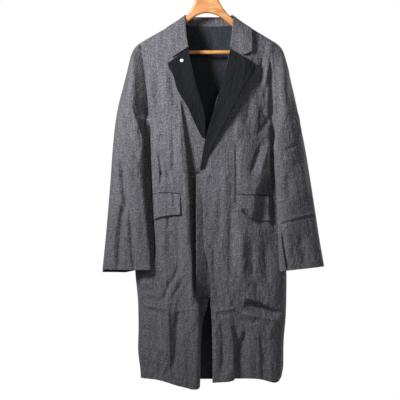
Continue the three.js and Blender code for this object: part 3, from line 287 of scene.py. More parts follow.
@dataclass(frozen=True)
class VarnishedWood:
    """Clear-varnished pale wood, whose long grain lines show through the gloss.

    The left half is tinted redder and darker as painted shade, and the right half paler as a
    painted highlight.
    """

    name: str = "varnished_wood"
    pale: str = "efb67a"
    deep: str = "a8632f"
    # Tints that paint shade on the left of the hanger and a highlight on its right, blended at
    # one x.
    left_painted_shade_tint: str = "f6dacb"
    right_painted_highlight_tint: str = "fffbe6"
    painted_light_split_x: float = 5 * MM
    painted_light_split_blend: float = 3 * MM
    ring_width: float = 15 * MM
    ring_length: float = 70 * MM
    pore_width: float = 0.8 * MM
    pore_length: float = 22 * MM
    pore_weight: float = 0.35
    pore_depth: float = 0.2 * MM

    def build(self) -> Material:
        """Makes the material, with its grain along x.

        Returns:
            The material.
        """
        material, tree = new_material(self.name)
        place = add_node(tree, "ShaderNodeTexCoord").outputs["Object"]
        rings, pores = (
            noise_of(tree, place, (along, across, across), 3.0, Distortion=0.4)
            for across, along in (
                (self.ring_width, self.ring_length),
                (self.pore_width, self.pore_length),
            )
        )
        mixed = add_node(
            tree,
            "ShaderNodeMath",
            {"operation": "MULTIPLY_ADD", "1": self.pore_weight},
            {"0": pores, "2": rings},
        )
        grain = colours_of(tree, mixed.outputs[0], (0.45, self.deep), (0.85, self.pale))
        # Painted light: the grain is tinted darker and redder on the left as shade, and paler on
        # the right as a highlight.
        sides = add_node(tree, "ShaderNodeSeparateXYZ", {}, {"Vector": place})
        half = add_node(
            tree,
            "ShaderNodeMapRange",
            {
                "From Min": self.painted_light_split_x - self.painted_light_split_blend,
                "From Max": self.painted_light_split_x + self.painted_light_split_blend,
            },
            {"Value": sides.outputs["X"]},
        )
        tint = add_node(
            tree,
            "ShaderNodeMixRGB",
            {"Color1": linear(self.left_painted_shade_tint), "Color2": linear(self.right_painted_highlight_tint)},
            {"Fac": half.outputs["Result"]},
        )
        grain_with_painted_light = add_node(
            tree,
            "ShaderNodeMixRGB",
            {"blend_type": "MULTIPLY", "Fac": 1.0},
            {"Color1": grain, "Color2": tint.outputs["Color"]},
        )
        return finished(
            material,
            {"Roughness": 0.38, "IOR": 1.5, "Coat Weight": 0.15, "Coat Roughness": 0.25},
            {
                "Base Color": grain_with_painted_light.outputs["Color"],
                "Normal": bump_of(tree, pores, 0.2, self.pore_depth),
            },
        )


def uneven(tree: Tree, marks: Socket, low: float, high: float) -> Socket:
    """Roughness that goes from low to high with the marks."""
    settings = {"To Min": low, "To Max": high}
    return add_node(tree, "ShaderNodeMapRange", settings, {"Value": marks}).outputs["Result"]


@dataclass(frozen=True)
class PlainMetal:
    """Plated steel. Fine draw marks break up its reflections a little."""

    name: str
    colour: str
    roughness: float
    mark: float = 0.6 * MM
    mark_depth: float = 0.05 * MM

    def build(self) -> Material:
        """Makes the material.

        Returns:
            The material.
        """
        material, tree = new_material(self.name)
        place = add_node(tree, "ShaderNodeTexCoord").outputs["Object"]
        marks = noise_of(tree, place, (self.mark, self.mark, self.mark), 2.0)
        return finished(
            material,
            {"Metallic": 1.0, "Base Color": linear(self.colour)},
            {
                "Roughness": uneven(tree, marks, self.roughness * 0.7, self.roughness * 1.3),
                "Normal": bump_of(tree, marks, 0.15, self.mark_depth),
            },
        )


@dataclass(frozen=True)
class PaintedFloor:
    """Matt pale floor paint with a faint mottle."""

    name: str = "pale_floor"
    colour: str = "e9e8e6"
    mottle: float = 0.125

    def build(self) -> Material:
        """Makes the material.

        Returns:
            The material.
        """
        material, tree = new_material(self.name)
        place = add_node(tree, "ShaderNodeTexCoord").outputs["Object"]
        patches = noise_of(tree, place, (self.mottle, self.mottle, self.mottle), 3.0)
        return finished(
            material,
            {"Base Color": linear(self.colour)},
            {"Roughness": uneven(tree, patches, 0.75, 0.9)},
        )


# ---------------------------------------------------------------- creases


class Profile(Enum):
    """Section of a crease: a round wave, a sharp one, a pressed line, or a sharp one
    that is steep on the right or the left of a path that runs down."""

    ROUND = 0
    SHARP = 1
    PRESSED = 2
    STEEP_RIGHT = 3
    STEEP_LEFT = 4


ROUND, SHARP, PRESSED, STEEP_RIGHT, STEEP_LEFT = Profile

# Widths of a steep crease's two sides, as shares of its own, and how far and how fast the
# sharp and the pressed sections fall.
STEEP_SIDE = 0.35
GENTLE_SIDE = 1.2
SHARP_REACH = 1.9
SHARP_POWER = 1.5
PRESSED_FALL = 1.6
PRESSED_REACH = 2.2


def eased(share: np.ndarray) -> np.ndarray:
    """Share that is kept between 0 and 1 and starts and ends softly."""
    kept = np.clip(share, 0, 1)
    return kept * kept * (3 - 2 * kept)


def places_of(points: np.ndarray) -> np.ndarray:
    """Rows of x and drop in millimetres for points of the frame."""
    return np.column_stack((points[:, 0], -points[:, 2])) / MM


@dataclass(frozen=True)
class Crease:
    """One ridge (height over 0) or trough (under 0) along a path of (x, drop) places."""

    path: tuple[tuple[float, float], ...]
    height: float
    width: float
    profile: Profile = ROUND
    taper: float = 0.35
    end_height: float | None = None

    def relief(self, places: np.ndarray) -> np.ndarray:
        """Works out the crease's height.

        Args:
            places: x and drop of each point, in millimetres.

        Returns:
            The height at each point, in millimetres.
        """
        points = np.array(self.path, float)
        if len(points) == 1:
            away = np.linalg.norm(places - points[0], axis=1)
            return self.height * np.exp(-((away / self.width) ** 2))
        steps = np.diff(points, axis=0)
        lengths = np.linalg.norm(steps, axis=1)
        whole = lengths.sum()
        nearest = np.full(len(places), np.inf)
        side = np.zeros(len(places))
        along = np.zeros(len(places))
        done = 0.0
        for start, step, length in zip(points[:-1], steps, lengths):
            offset = places - start
            share = np.clip(offset @ step / length**2, 0, 1)
            gap = offset - share[:, None] * step
            away = np.linalg.norm(gap, axis=1)
            turn = np.sign(step[0] * offset[:, 1] - step[1] * offset[:, 0])
            closer = away < nearest
            nearest[closer] = away[closer]
            side[closer] = turn[closer]
            along[closer] = (done + share[closer] * length) / whole
            done += length
        fade = eased(np.minimum(along, 1 - along) / max(self.taper, 1e-3))
        end = self.height if self.end_height is None else self.end_height
        return (self.height + (end - self.height) * along) * fade * self.wave(nearest, side)

    def wave(self, away: np.ndarray, side: np.ndarray) -> np.ndarray:
        """Height of the section, as a share of the crease's own.

        Args:
            away: distance of each point from the path, in millimetres.
            side: side of the path that it lies on, over 0 on the left.

        Returns:
            A share from 0 to 1 for each point.
        """
        share = away / self.width
        if self.profile is ROUND:
            return np.exp(-(share**2))
        if self.profile is PRESSED:
            return np.exp(-PRESSED_FALL * share - (share / PRESSED_REACH) ** 2)
        if self.profile is not SHARP:
            steep = side < 0 if self.profile is STEEP_RIGHT else side > 0
            share = share / np.where(steep, STEEP_SIDE, GENTLE_SIDE)
        return np.clip(1 - share / SHARP_REACH, 0, 1) ** SHARP_POWER


def creases(*rows: tuple) -> tuple[Crease, ...]:
    """Creases from rows of path, height, width, profile, taper and end height."""
    return tuple(Crease(*row) for row in rows)


# What sets each kind of wrinkle apart from the others of the same seed.
LEFT_SET = 7.3
RIGHT_SET = 19.1
PATCH_SET = 31.7


@dataclass(frozen=True)
class Crumple:
    """Seeded wrinkles all over a piece: a soft drape, and two sets of small creases that
    lean opposite ways, come in patches and are stronger on the skirt."""

    seed: int
    drape: float = 4.2
    drape_size: tuple[float, float] = (44, 260)
    wrinkle: float = 3.0
    wrinkle_size: tuple[float, float] = (12, 44)
    lean: float = 0.3
    crest: float = 0.35
    patch_size: tuple[float, float] = (90, 130)
    patch_least: float = 0.15
    skirt_drop: float = 910
    skirt_blend: float = 60
    skirt_more: float = 0.7

    def relief(self, places: np.ndarray) -> np.ndarray:
        """Works out the wrinkles' height.

        Args:
            places: x and drop of each point, in millimetres.

        Returns:
            The height at each point, in millimetres.
        """

        def cell(x: float, drop: float, size: tuple[float, float], kind: float) -> float:
            """Noise with cells of that size, which differs with the kind."""
            return noise.noise(Vector((x / size[0], drop / size[1], self.seed + kind)))

        heights = np.zeros(len(places))
        for i, (x, drop) in enumerate(places):
            soft = cell(x, drop, self.drape_size, 0)
            left = cell(x + self.lean * drop, drop, self.wrinkle_size, LEFT_SET)
            right = cell(x - self.lean * drop, drop, self.wrinkle_size, RIGHT_SET)
            patch = max(0.5 + cell(x, drop, self.patch_size, PATCH_SET), self.patch_least)
            sharp = (self.crest - abs(left)) + (self.crest - abs(right))
            low = min(max((drop - self.skirt_drop) / self.skirt_blend, 0), 1)
            heights[i] = self.drape * soft
            heights[i] += self.wrinkle * (1 + self.skirt_more * low) * sharp * patch
        return heights


# ---------------------------------------------------------------- cloth pieces

WELD = 1e-6
# How far the short way and the edges of a rim's faces may miss the wall's thickness, as
# shares of it.
RIM_SLACK = 0.03
RIM_EDGE_SLACK = 0.04
SHARP_DEGREES = 60


def short_way(face: Face) -> float:
    """Height of a triangle over its longest edge."""
    return 2 * face.calc_area() / max(edge.calc_length() for edge in face.edges)


def islands(mesh: bmesh.types.BMesh) -> list[list[Face]]:
    """Sorts the faces by what hangs together.

    Args:
        mesh: the faces.

    Returns:
        Groups of faces that are joined by edges.
    """
    left = set(mesh.faces)
    groups = []
    while left:
        group = [left.pop()]
        for face in group:
            for edge in face.edges:
                for other in edge.link_faces:
                    if other in left:
                        left.remove(other)
                        group.append(other)
        groups.append(group)
    return groups


def neighbours(vertex: Vertex, border: bool = False) -> list[Vertex]:
    """Vertices that share an edge, or an edge on the sheet's border, with this one."""
    return [e.other_vert(vertex) for e in vertex.link_edges if e.is_boundary or not border]


def edge_walk(corner: Vertex, first: Vertex) -> list[Vertex]:
    """Follows the sheet's outline from one corner to the next.

    Args:
        corner: the corner to start from.
        first: the outline's next vertex.

    Returns:
        The vertices from corner to corner.
    """
    line = [corner, first]
    while len(line[-1].link_edges) > 3:
        line.append(next(v for v in neighbours(line[-1], border=True) if v is not line[-2]))
    return line


def grid_rows(mesh: bmesh.types.BMesh) -> list[list[Vertex]]:
    """Sorts the vertices of a sheet of regular triangles into its rows.

    Args:
        mesh: one sheet with four corners.

    Returns:
        The rows, from the highest corner down.
    """
    corners = [v for v in mesh.verts if v.is_boundary and len(v.link_edges) <= 3]
    top = max(corners, key=lambda v: v.co.z)
    lines = [edge_walk(top, start) for start in neighbours(top, border=True)]
    rows = [max(lines, key=lambda line: line[-1].co.z)]
    seen = set(rows[0])
    while len(seen) < len(mesh.verts):
        strip = {w for v in rows[-1] for w in neighbours(v) if w not in seen}
        current = next(v for v in neighbours(rows[-1][0], border=True) if v in strip)
        row = [current]
        strip.remove(current)
        while strip:
            current = next(w for w in neighbours(current) if w in strip)
            row.append(current)
            strip.remove(current)
        seen.update(row)
        rows.append(row)
    return rows


def outer_sheet(node: str, inward: Vector | None, flat_grain: bool) -> bmesh.types.BMesh:
    """Takes the outer face of a solid cloth wall as one sheet of quads.

    Args:
        node: the solid's name.
        inward: the way from the outer face to the inner one, for most of the piece, or
            None for a folded piece, whose outer face is the larger one.
        flat_grain: whether the warp runs straight down, seen from the front or the back.

    Returns:
        The sheet, whose faces point outwards and whose "grain" map is in metres.
    """
    mesh = bmesh.new()
    mesh.from_mesh(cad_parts[node].data)
    bmesh.ops.remove_doubles(mesh, verts=mesh.verts, dist=WELD)
    rim = [
        face
        for face in mesh.faces
        if short_way(face) < (1 + RIM_SLACK) * WALL
        and any(abs(e.calc_length() - WALL) < RIM_EDGE_SLACK * WALL for e in face.edges)
    ]
    bmesh.ops.delete(mesh, geom=rim, context="FACES")
    groups = islands(mesh)

    def depth(group: list[Face]) -> float:
        """How far inwards a group of faces looks, weighted by area."""
        turned = sum((f.normal * f.calc_area() for f in group), Vector())
        return turned.dot(inward)

    def area(group: list[Face]) -> float:
        """Area of a group of faces."""
        return sum(face.calc_area() for face in group)

    kept = set(max(groups, key=area) if inward is None else min(groups, key=depth))
    bmesh.ops.delete(mesh, geom=[f for f in mesh.faces if f not in kept], context="FACES")
    rows = grid_rows(mesh)
    place = {v: (r, c) for r, row in enumerate(rows) for c, v in enumerate(row)}

    def crosses(edge: bmesh.types.BMEdge) -> bool:
        """True for a quad's diagonal."""
        (r1, c1), (r2, c2) = place[edge.verts[0]], place[edge.verts[1]]
        return r1 != r2 and c1 != c2

    middle = len(rows[0]) // 2
    down = (rows[-1][middle].co - rows[0][middle].co).normalized()
    if flat_grain:
        down = Vector((0, 0, -1))
    side = down.cross(Vector((0, 1, 0))).normalized()
    across = {}
    for row in rows:
        turn = 1 if (row[-1].co - row[0].co).dot(side) > 0 else -1
        across[row[middle]] = row[middle].co.dot(side)
        for way, line in ((turn, row[middle:]), (-turn, row[middle::-1])):
            for a, b in zip(line, line[1:]):
                step = b.co - a.co
                run = way * (step - down * step.dot(down)).length
                across[b] = b.co.x if flat_grain else across[a] + run
    bmesh.ops.dissolve_edges(mesh, edges=[e for e in mesh.edges if crosses(e)])
    grain = mesh.loops.layers.uv.new("grain")
    for face in mesh.faces:
        for loop in face.loops:
            loop[grain].uv = (across[loop.vert], loop.vert.co.dot(down))
    return mesh


def baked(piece: bpy.types.Object) -> None:
    """Puts the result of a piece's modifiers into its mesh.

    Args:
        piece: the piece, which has no modifiers afterwards.
    """
    graph = bpy.context.evaluated_depsgraph_get()
    made = bpy.data.meshes.new_from_object(piece.evaluated_get(graph))
    piece.modifiers.clear()
    piece.data = made
    made.name = piece.name


def rows_of(items: bpy.types.bpy_prop_collection, name: str) -> np.ndarray:
    """Reads a vector of each item, such as a vertex's place.

    Args:
        items: a mesh's vertices or their normals.
        name: the vector's name in an item.

    Returns:
        Rows of x, y and z.
    """
    numbers = np.empty(len(items) * 3)
    items.foreach_get(name, numbers)
    return numbers.reshape(-1, 3)


def tree_of(mesh: bpy.types.Mesh) -> BVHTree:
    """Search tree of a mesh's faces."""
    return BVHTree.FromPolygons(
        [v.co for v in mesh.vertices], [p.vertices for p in mesh.polygons]
    )


def rising(values: np.ndarray, start: float, run: float) -> np.ndarray:
    """Share that goes from 0 at the start to 1 after the run."""
    return np.clip((values - start) / run, 0, 1)


class Outer(Enum):
    """What a piece shows: the linen's face over its reverse, the face on both sides, as
    double cloth does, or the reverse over the face."""

    FACE = 0
    DOUBLE = 1
    REVERSE = 2


@dataclass
class ClothPiece:
    """One cut piece of cloth, made from the outer face of its solid.

    Its creases are listed, fade out towards the seams, and are carried over
    to a layer that lies on the piece.
    """

    node: str
    cut: tuple[float, float]
    cut_area: float
    outer: Outer = Outer.FACE
    inward: tuple[float, float, float] | None = (0, 1, 0)
    flat_grain: bool = False
    slot: str = "linen"
    levels: int = 3
    sewn_to: tuple[str, ...] = ()
    seam_clear: float = 1.0
    seam_width: float = 16.0
    rests_on: tuple[str, ...] = ("hanger_yoke",)
    creases: tuple[Crease, ...] = ()
    crumple: Crumple | None = None
    lies_on: "ClothPiece | None" = None
    widen: float = 0
    widen_drop: float = 488
    widen_reach: float = 42
    widen_x: float = 165
    widen_blend: float = 30
    piece: bpy.types.Object | None = field(default=None, init=False)
    face_tree: BVHTree | None = field(default=None, init=False)

    def build(self, face: Material, back: Material) -> None:
        """Makes the piece and dresses it.

        Args:
            face: finish of the outer side.
            back: finish of the inner side.
        """
        inward = self.inward and Vector(self.inward)
        sheet = outer_sheet(self.node, inward, self.flat_grain)
        mesh = bpy.data.meshes.new(self.node + "_cloth")
        sheet.to_mesh(mesh)
        sheet.free()
        self.piece = bpy.data.objects.new(self.node + "_cloth", mesh)
        bpy.context.scene.collection.objects.link(self.piece)
        finer = self.piece.modifiers.new("finer", "SUBSURF")
        finer.levels = finer.render_levels = self.levels
        finer.boundary_smooth = "PRESERVE_CORNERS"
        baked(self.piece)
        self.fold()
        self.face_tree = tree_of(self.piece.data)
        self.piece.data.materials.append(face)
        self.piece.data.materials.append(back)
        wall = self.piece.modifiers.new("wall", "SOLIDIFY")
        wall.thickness = WALL
        wall.offset = -1
        wall.material_offset = 1
        wall.use_quality_normals = True
        baked(self.piece)
        self.piece.data.shade_smooth()
        self.piece.data.set_sharp_from_angle(angle=math.radians(SHARP_DEGREES))
        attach(self.piece, BODY)
        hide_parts(self.node)
        log.info("%s: %d faces", self.piece.name, len(self.piece.data.polygons))

    def relief(self, points: np.ndarray) -> np.ndarray:
        """Height of the creases over the plain form.

        Args:
            points: places in the frame, in metres.

        Returns:
            Heights in millimetres.
        """
        places = places_of(points)
        heights = np.zeros(len(points))
        for crease in self.creases:
            heights += crease.relief(places)
        if self.crumple is not None:
            heights += self.crumple.relief(places)
        return heights

    def hold(self, points: np.ndarray) -> np.ndarray:
        """Weakens the relief near the seams.

        Args:
            points: places in the frame, in metres.

        Returns:
            The share of it that is left at each point, 0 on the seams.
        """
        if not self.sewn_to:
            return np.ones(len(points))
        near = np.full(len(points), np.inf)
        for node in self.sewn_to:
            tree = tree_of(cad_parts[node].data)
            away = [tree.find_nearest(Vector(p))[3] for p in points]
            near = np.minimum(near, away)
        return eased((near / MM - self.seam_clear) / self.seam_width)

    def fold(self) -> None:
        """Moves the sheet's points out or in by the height of its creases."""
        mesh = self.piece.data
        points = rows_of(mesh.vertices, "co")
        hold = self.hold(points)
        heights = self.relief(points) * hold
        if self.lies_on is not None:
            heights = heights + self.lies_on.relief(points)
        moves = self.shift(points, hold)
        normals = rows_of(mesh.vertex_normals, "vector")
        points += normals * (heights * MM)[:, None]
        points += moves * MM
        mesh.vertices.foreach_set("co", points.ravel())
        mesh.update()
        if self.lies_on is not None:
            self.settle()

    def shift(self, points: np.ndarray, hold: np.ndarray) -> np.ndarray:
        """Moves that don't follow the cloth's own slope.

        Args:
            points: places in the frame, in metres.
            hold: share that is left near the seams.

        Returns:
            A move in millimetres for each point.
        """
        moves = seam_valleys(points)
        moves[:, 2] += neck_rise(points)
        if self.widen:
            x, drop = places_of(points).T
            wave = np.exp(-(((drop - self.widen_drop) / self.widen_reach) ** 2))
            edge = rising(np.abs(x), self.widen_x, self.widen_blend)
            moves[:, 0] += self.widen * np.sign(x) * wave * edge
        return moves

    def settle(self) -> None:
        """Keeps a layer in front of the piece that it lies on."""
        mesh = self.piece.data
        clear = WALL + LAYER_GAP
        for vertex in mesh.vertices:
            start = Vector((vertex.co.x, -1, vertex.co.z))
            hit = self.lies_on.face_tree.ray_cast(start, Vector((0, 1, 0)))[0]
            if hit is not None and vertex.co.y > hit.y - clear:
                vertex.co.y = hit.y - clear
        mesh.update()


@dataclass
class SleeveHalf(ClothPiece):
    """Upper or under half of a sleeve.

    Under the arm the cloth is pushed in against the body, and the half's edge at the
    cuff may hang lower than the solid's.
    """

    side: int = -1
    pinch: float = 13
    pinch_drop: float = 492
    pinch_reach: float = 50
    pinch_x: float = 246
    pinch_blend: float = 45
    cuff: float = 900
    cuff_blend: float = 40
    cuff_fall: float = 0
    fall_x: float = 205
    fall_blend: float = 40
    fall_least: float = 0.15

    def shift(self, points: np.ndarray, hold: np.ndarray) -> np.ndarray:
        """Moves towards the body under the arm and down at the cuff.

        Args:
            points: places in the frame, in metres.
            hold: share that is left near the seams.

        Returns:
            A move in millimetres for each point.
        """
        moves = super().shift(points, hold)
        x, drop = places_of(points).T
        out = x * self.side
        near = np.clip((self.pinch_x - out) / self.pinch_blend, 0, 1)
        wave = np.exp(-(((drop - self.pinch_drop) / self.pinch_reach) ** 2))
        moves[:, 0] -= self.side * self.pinch * near * wave * hold
        low = rising(drop, self.cuff - self.cuff_blend, self.cuff_blend)
        outer = np.maximum(rising(out, self.fall_x, self.fall_blend), self.fall_least)
        moves[:, 2] -= self.cuff_fall * low * low * outer
        return moves


@dataclass
class FlyStrip(ClothPiece):
    """Strip under the overlapping front's edge, turned in under that edge and, to fade
    into the dark, at its lower end."""

    left: float = -31
    right: float = 2
    turn: float = 15
    turn_drop: float = 615
    turn_blend: float = 110
    end_turn: float = 40
    end_drop: float = 820
    end_blend: float = 165

    def shift(self, points: np.ndarray, hold: np.ndarray) -> np.ndarray:
        """Moves back, the more the further under the edge and near the lower end.

        Args:
            points: places in the frame, in metres.
            hold: share that is left near the seams.

        Returns:
            A move in millimetres for each point.
        """
        moves = super().shift(points, hold)
        x, drop = places_of(points).T
        share = rising(x, self.left, self.right - self.left)
        share *= rising(drop, self.turn_drop, self.turn_blend)
        low = rising(drop, self.end_drop, self.end_blend)
        moves[:, 1] += self.turn * share + self.end_turn * low * low
        return moves


@dataclass
class Lapel(ClothPiece):
    """Turned-out lapel. Its outer part stands off the front."""

    side: int = -1
    # The roll line: a place on it, as x and drop, and how far it moves aside as it drops.
    roll: tuple[float, float, float] = (0, 0, 0)
    flat: float = 0
    reach: float = 60
    lift: float = 8

    def shift(self, points: np.ndarray, hold: np.ndarray) -> np.ndarray:
        """Moves forward, the more the further from the roll line.

        Args:
            points: places in the frame, in metres.
            hold: share that is left near the seams.

        Returns:
            A move in millimetres for each point.
        """
        moves = super().shift(points, hold)
        x, drop = places_of(points).T
        roll_x, roll_drop, slope = self.roll
        out = (x - roll_x - slope * (drop - roll_drop)) * self.side
        share = rising(out, self.flat, self.reach - self.flat)
        moves[:, 1] -= self.lift * share
        return moves


@dataclass
class Flap(ClothPiece):
    """Pocket flap. A band of the dark reverse along its upper edge is painted shade at the
    pocket's mouth, and one lower corner of it may curl."""

    # Height of the band along the upper edge that is drawn in the dark reverse as painted shade
    # of the pocket's mouth.
    painted_shade_band: float = 3.6 * MM
    column: float = 3 * MM
    curl_at: tuple[float, float] = (0, 0)
    curl: float = 0
    curl_reach: float = 15
    curl_up: float = 0.6
    curl_aside: float = 0.4

    def shift(self, points: np.ndarray, hold: np.ndarray) -> np.ndarray:
        """Moves the curled corner forward and up.

        Args:
            points: places in the frame, in metres.
            hold: share that is left near the seams.

        Returns:
            A move in millimetres for each point.
        """
        moves = super().shift(points, hold)
        x, drop = places_of(points).T
        away = np.hypot(x - self.curl_at[0], drop - self.curl_at[1])
        bend = self.curl * np.clip(1 - away / self.curl_reach, 0, 1) ** 1.5
        moves += np.outer(bend, (self.curl_aside, -1, self.curl_up))
        return moves

    def build(self, face: Material, back: Material) -> None:
        """Makes the flap, then paints shade along its upper edge in the reverse.

        Args:
            face: finish of the outer side.
            back: finish of the inner side.
        """
        super().build(face, back)
        mesh = self.piece.data
        top = {}
        for x, _, z in rows_of(mesh.vertices, "co"):
            column = round(x / self.column)
            top[column] = max(top.get(column, -math.inf), z)
        for polygon in mesh.polygons:
            at = polygon.center
            if at.z > top[round(at.x / self.column)] - self.painted_shade_band:
                polygon.material_index = 1


# Troughs that run along the armhole seams, so both pieces take them. They are whole in
# front of one y and end at another, in millimetres.
SEAM_VALLEYS = creases(
    (
        ((-202, 212), (-194, 260), (-187, 310), (-181, 372), (-177, 450)),
        -25, 15, STEEP_RIGHT, 0.1, -29,
    ),
    (((190, 245), (192, 290), (196, 350), (200, 410), (203, 455)), -4, 9, STEEP_RIGHT, 0.15, -20),
)
VALLEY_WHOLE_Y = -14
VALLEY_NONE_Y = 12

# The back neck's lift, in millimetres, and where it is.
NECK_RISE = 10
NECK_X = 6
NECK_HALF_WIDTH = 62
NECK_DROP = 260
NECK_DROP_BLEND = 90
NECK_Y = -14
NECK_Y_BLEND = 30


def neck_rise(points: np.ndarray) -> np.ndarray:
    """Lift of the back neck, where the collar stands against the neck of the hanger.

    Args:
        points: places in the frame, in metres.

    Returns:
        The lift in millimetres for each point.
    """
    x, y, z = points.T / MM
    behind = rising(y, NECK_Y, NECK_Y_BLEND)
    high = (z + NECK_DROP) / NECK_DROP_BLEND
    near = np.clip(1 - (x - NECK_X) ** 2 / NECK_HALF_WIDTH**2, 0, 1)
    return NECK_RISE * behind * eased(high) * near


def seam_valleys(points: np.ndarray) -> np.ndarray:
    """Troughs across the seams, as moves straight back that end at the coat's sides.

    Args:
        points: places in the frame, in metres.

    Returns:
        A move in millimetres for each point.
    """
    places = places_of(points)
    depth = sum(valley.relief(places) for valley in SEAM_VALLEYS)
    share = (VALLEY_NONE_Y - points[:, 1] / MM) / (VALLEY_NONE_Y - VALLEY_WHOLE_Y)
    moves = np.zeros_like(points)
    moves[:, 1] = -depth * eased(share)
    return moves


# ---------------------------------------------------------------- creases by piece

FRONT_LEFT_CREASES = creases(
    # The deep fold beside the lapel: its crest, and the shaded trough on the right.
    (
        ((-81, 375), (-73, 468), (-65, 552), (-56, 672), (-52, 812), (-47, 880), (-41, 950),
         (-31, 1014), (-28, 1100), (-27, 1194)),
        3, 17, STEEP_RIGHT, 0.1, 6,
    ),
    (
        ((-76, 372), (-66, 468), (-57, 552), (-45, 672), (-41, 812), (-39, 918), (-34, 1000)),
        -7, 12, STEEP_LEFT, 0.1, -24,
    ),
    (((-84, 420), (-76, 552), (-66, 672), (-61, 812), (-55, 900)), 3.5, 6, SHARP, 0.2),
    # Hollow under the fly strip.
    (((-16, 590), (-8, 760), (0, 900), (2, 1020)), -15, 24, ROUND, 0.1),
    # Hollow beside the sleeve.
    (
        ((-180, 430), (-180, 540), (-176, 640), (-168, 760), (-160, 890)),
        -22, 20, STEEP_RIGHT, 0.12, -28,
    ),
    # Chest.
    (((-153, 290), (-147, 430)), -4, 10),
    (((-111, 305), (-96, 411)), -5, 9, SHARP),
    (((-129, 270), (-123, 450)), 4, 14),
    (((-96, 440), (-88, 560), (-84, 660)), 3.5, 11),
    (((-138, 430), (-140, 540)), -3, 8),
    (((-149, 540), (-140, 597), (-141, 655)), -9, 7, STEEP_LEFT, 0.2),
    (((-135, 550), (-124, 594), (-110, 636)), -8, 7, STEEP_LEFT, 0.2),
    (((-146, 604), (-130, 622), (-114, 636)), -7, 5, SHARP, 0.2),
    # Groove over the pocket flap.
    (((-166, 667), (-143, 661), (-79, 665)), -5, 3.5, SHARP, 0.05),
    (((-104, 470), (-100, 560), (-104, 640)), -4, 6, SHARP, 0.2),
    (((-118, 560), (-106, 600)), 2.5, 6),
    # Under the pocket flap.
    (((-118, 734), (-114, 780)), -7, 5, SHARP, 0.2),
    (((-135, 745), (-126, 860)), 4, 12),
    (((-88, 720), (-84, 900)), -4, 8),
    (((-150, 760), (-143, 900)), -3, 9),
    # Slanted wrinkles above the packing crease.
    (((-121, 968), (-98, 920), (-80, 872)), -9, 6, SHARP),
    (((-138, 1006), (-118, 960), (-112, 920)), -8, 6, SHARP),
    (((-110, 1004), (-88, 958), (-66, 920)), -9, 6, SHARP),
    (((-128, 992), (-104, 938), (-92, 890)), 4.5, 6, SHARP),
    (((-118, 1012), (-92, 972), (-76, 950)), 4, 5, SHARP),
    (((-150, 860), (-130, 930)), -3, 6, SHARP),
    (((-76, 870), (-64, 960)), 4.5, 9),
    (((-210, 920), (-176, 926), (-146, 923)), -5, 5, SHARP),
    (((-206, 956), (-180, 964), (-150, 960)), -6, 5, SHARP),
    (((-200, 940), (-160, 943)), 3.5, 6),
    (((-186, 984), (-150, 990)), -4, 5, SHARP),
    # Packing crease across the front.
    (((-196, 1004), (-117, 1019)), 4.5, 8, PRESSED, 0.15),
    (((-106, 1026), (-34, 1015)), 4, 8, PRESSED, 0.15),
    (((-190, 1016), (-120, 1032)), -2.5, 7),
    # Skirt: a sharp crease, the wedge beside it, and the hem's own.
    (((-120, 965), (-114, 1080), (-110, 1200)), 7, 13, STEEP_RIGHT),
    (((-84, 1010), (-92, 1110), (-100, 1226)), -11, 12, STEEP_RIGHT, 0.2),
    (((-66, 1030), (-72, 1140), (-80, 1230)), 4.5, 13),
    (((-207, 1149), (-180, 1160), (-153, 1179)), 7, 7, SHARP, 0.2),
    (((-188, 1060), (-150, 1120)), -3.5, 12),
    (((-150, 1226), (-126, 1176)), -4, 7, SHARP),
    (((-186, 1200), (-160, 1226)), 3, 6, SHARP),
)

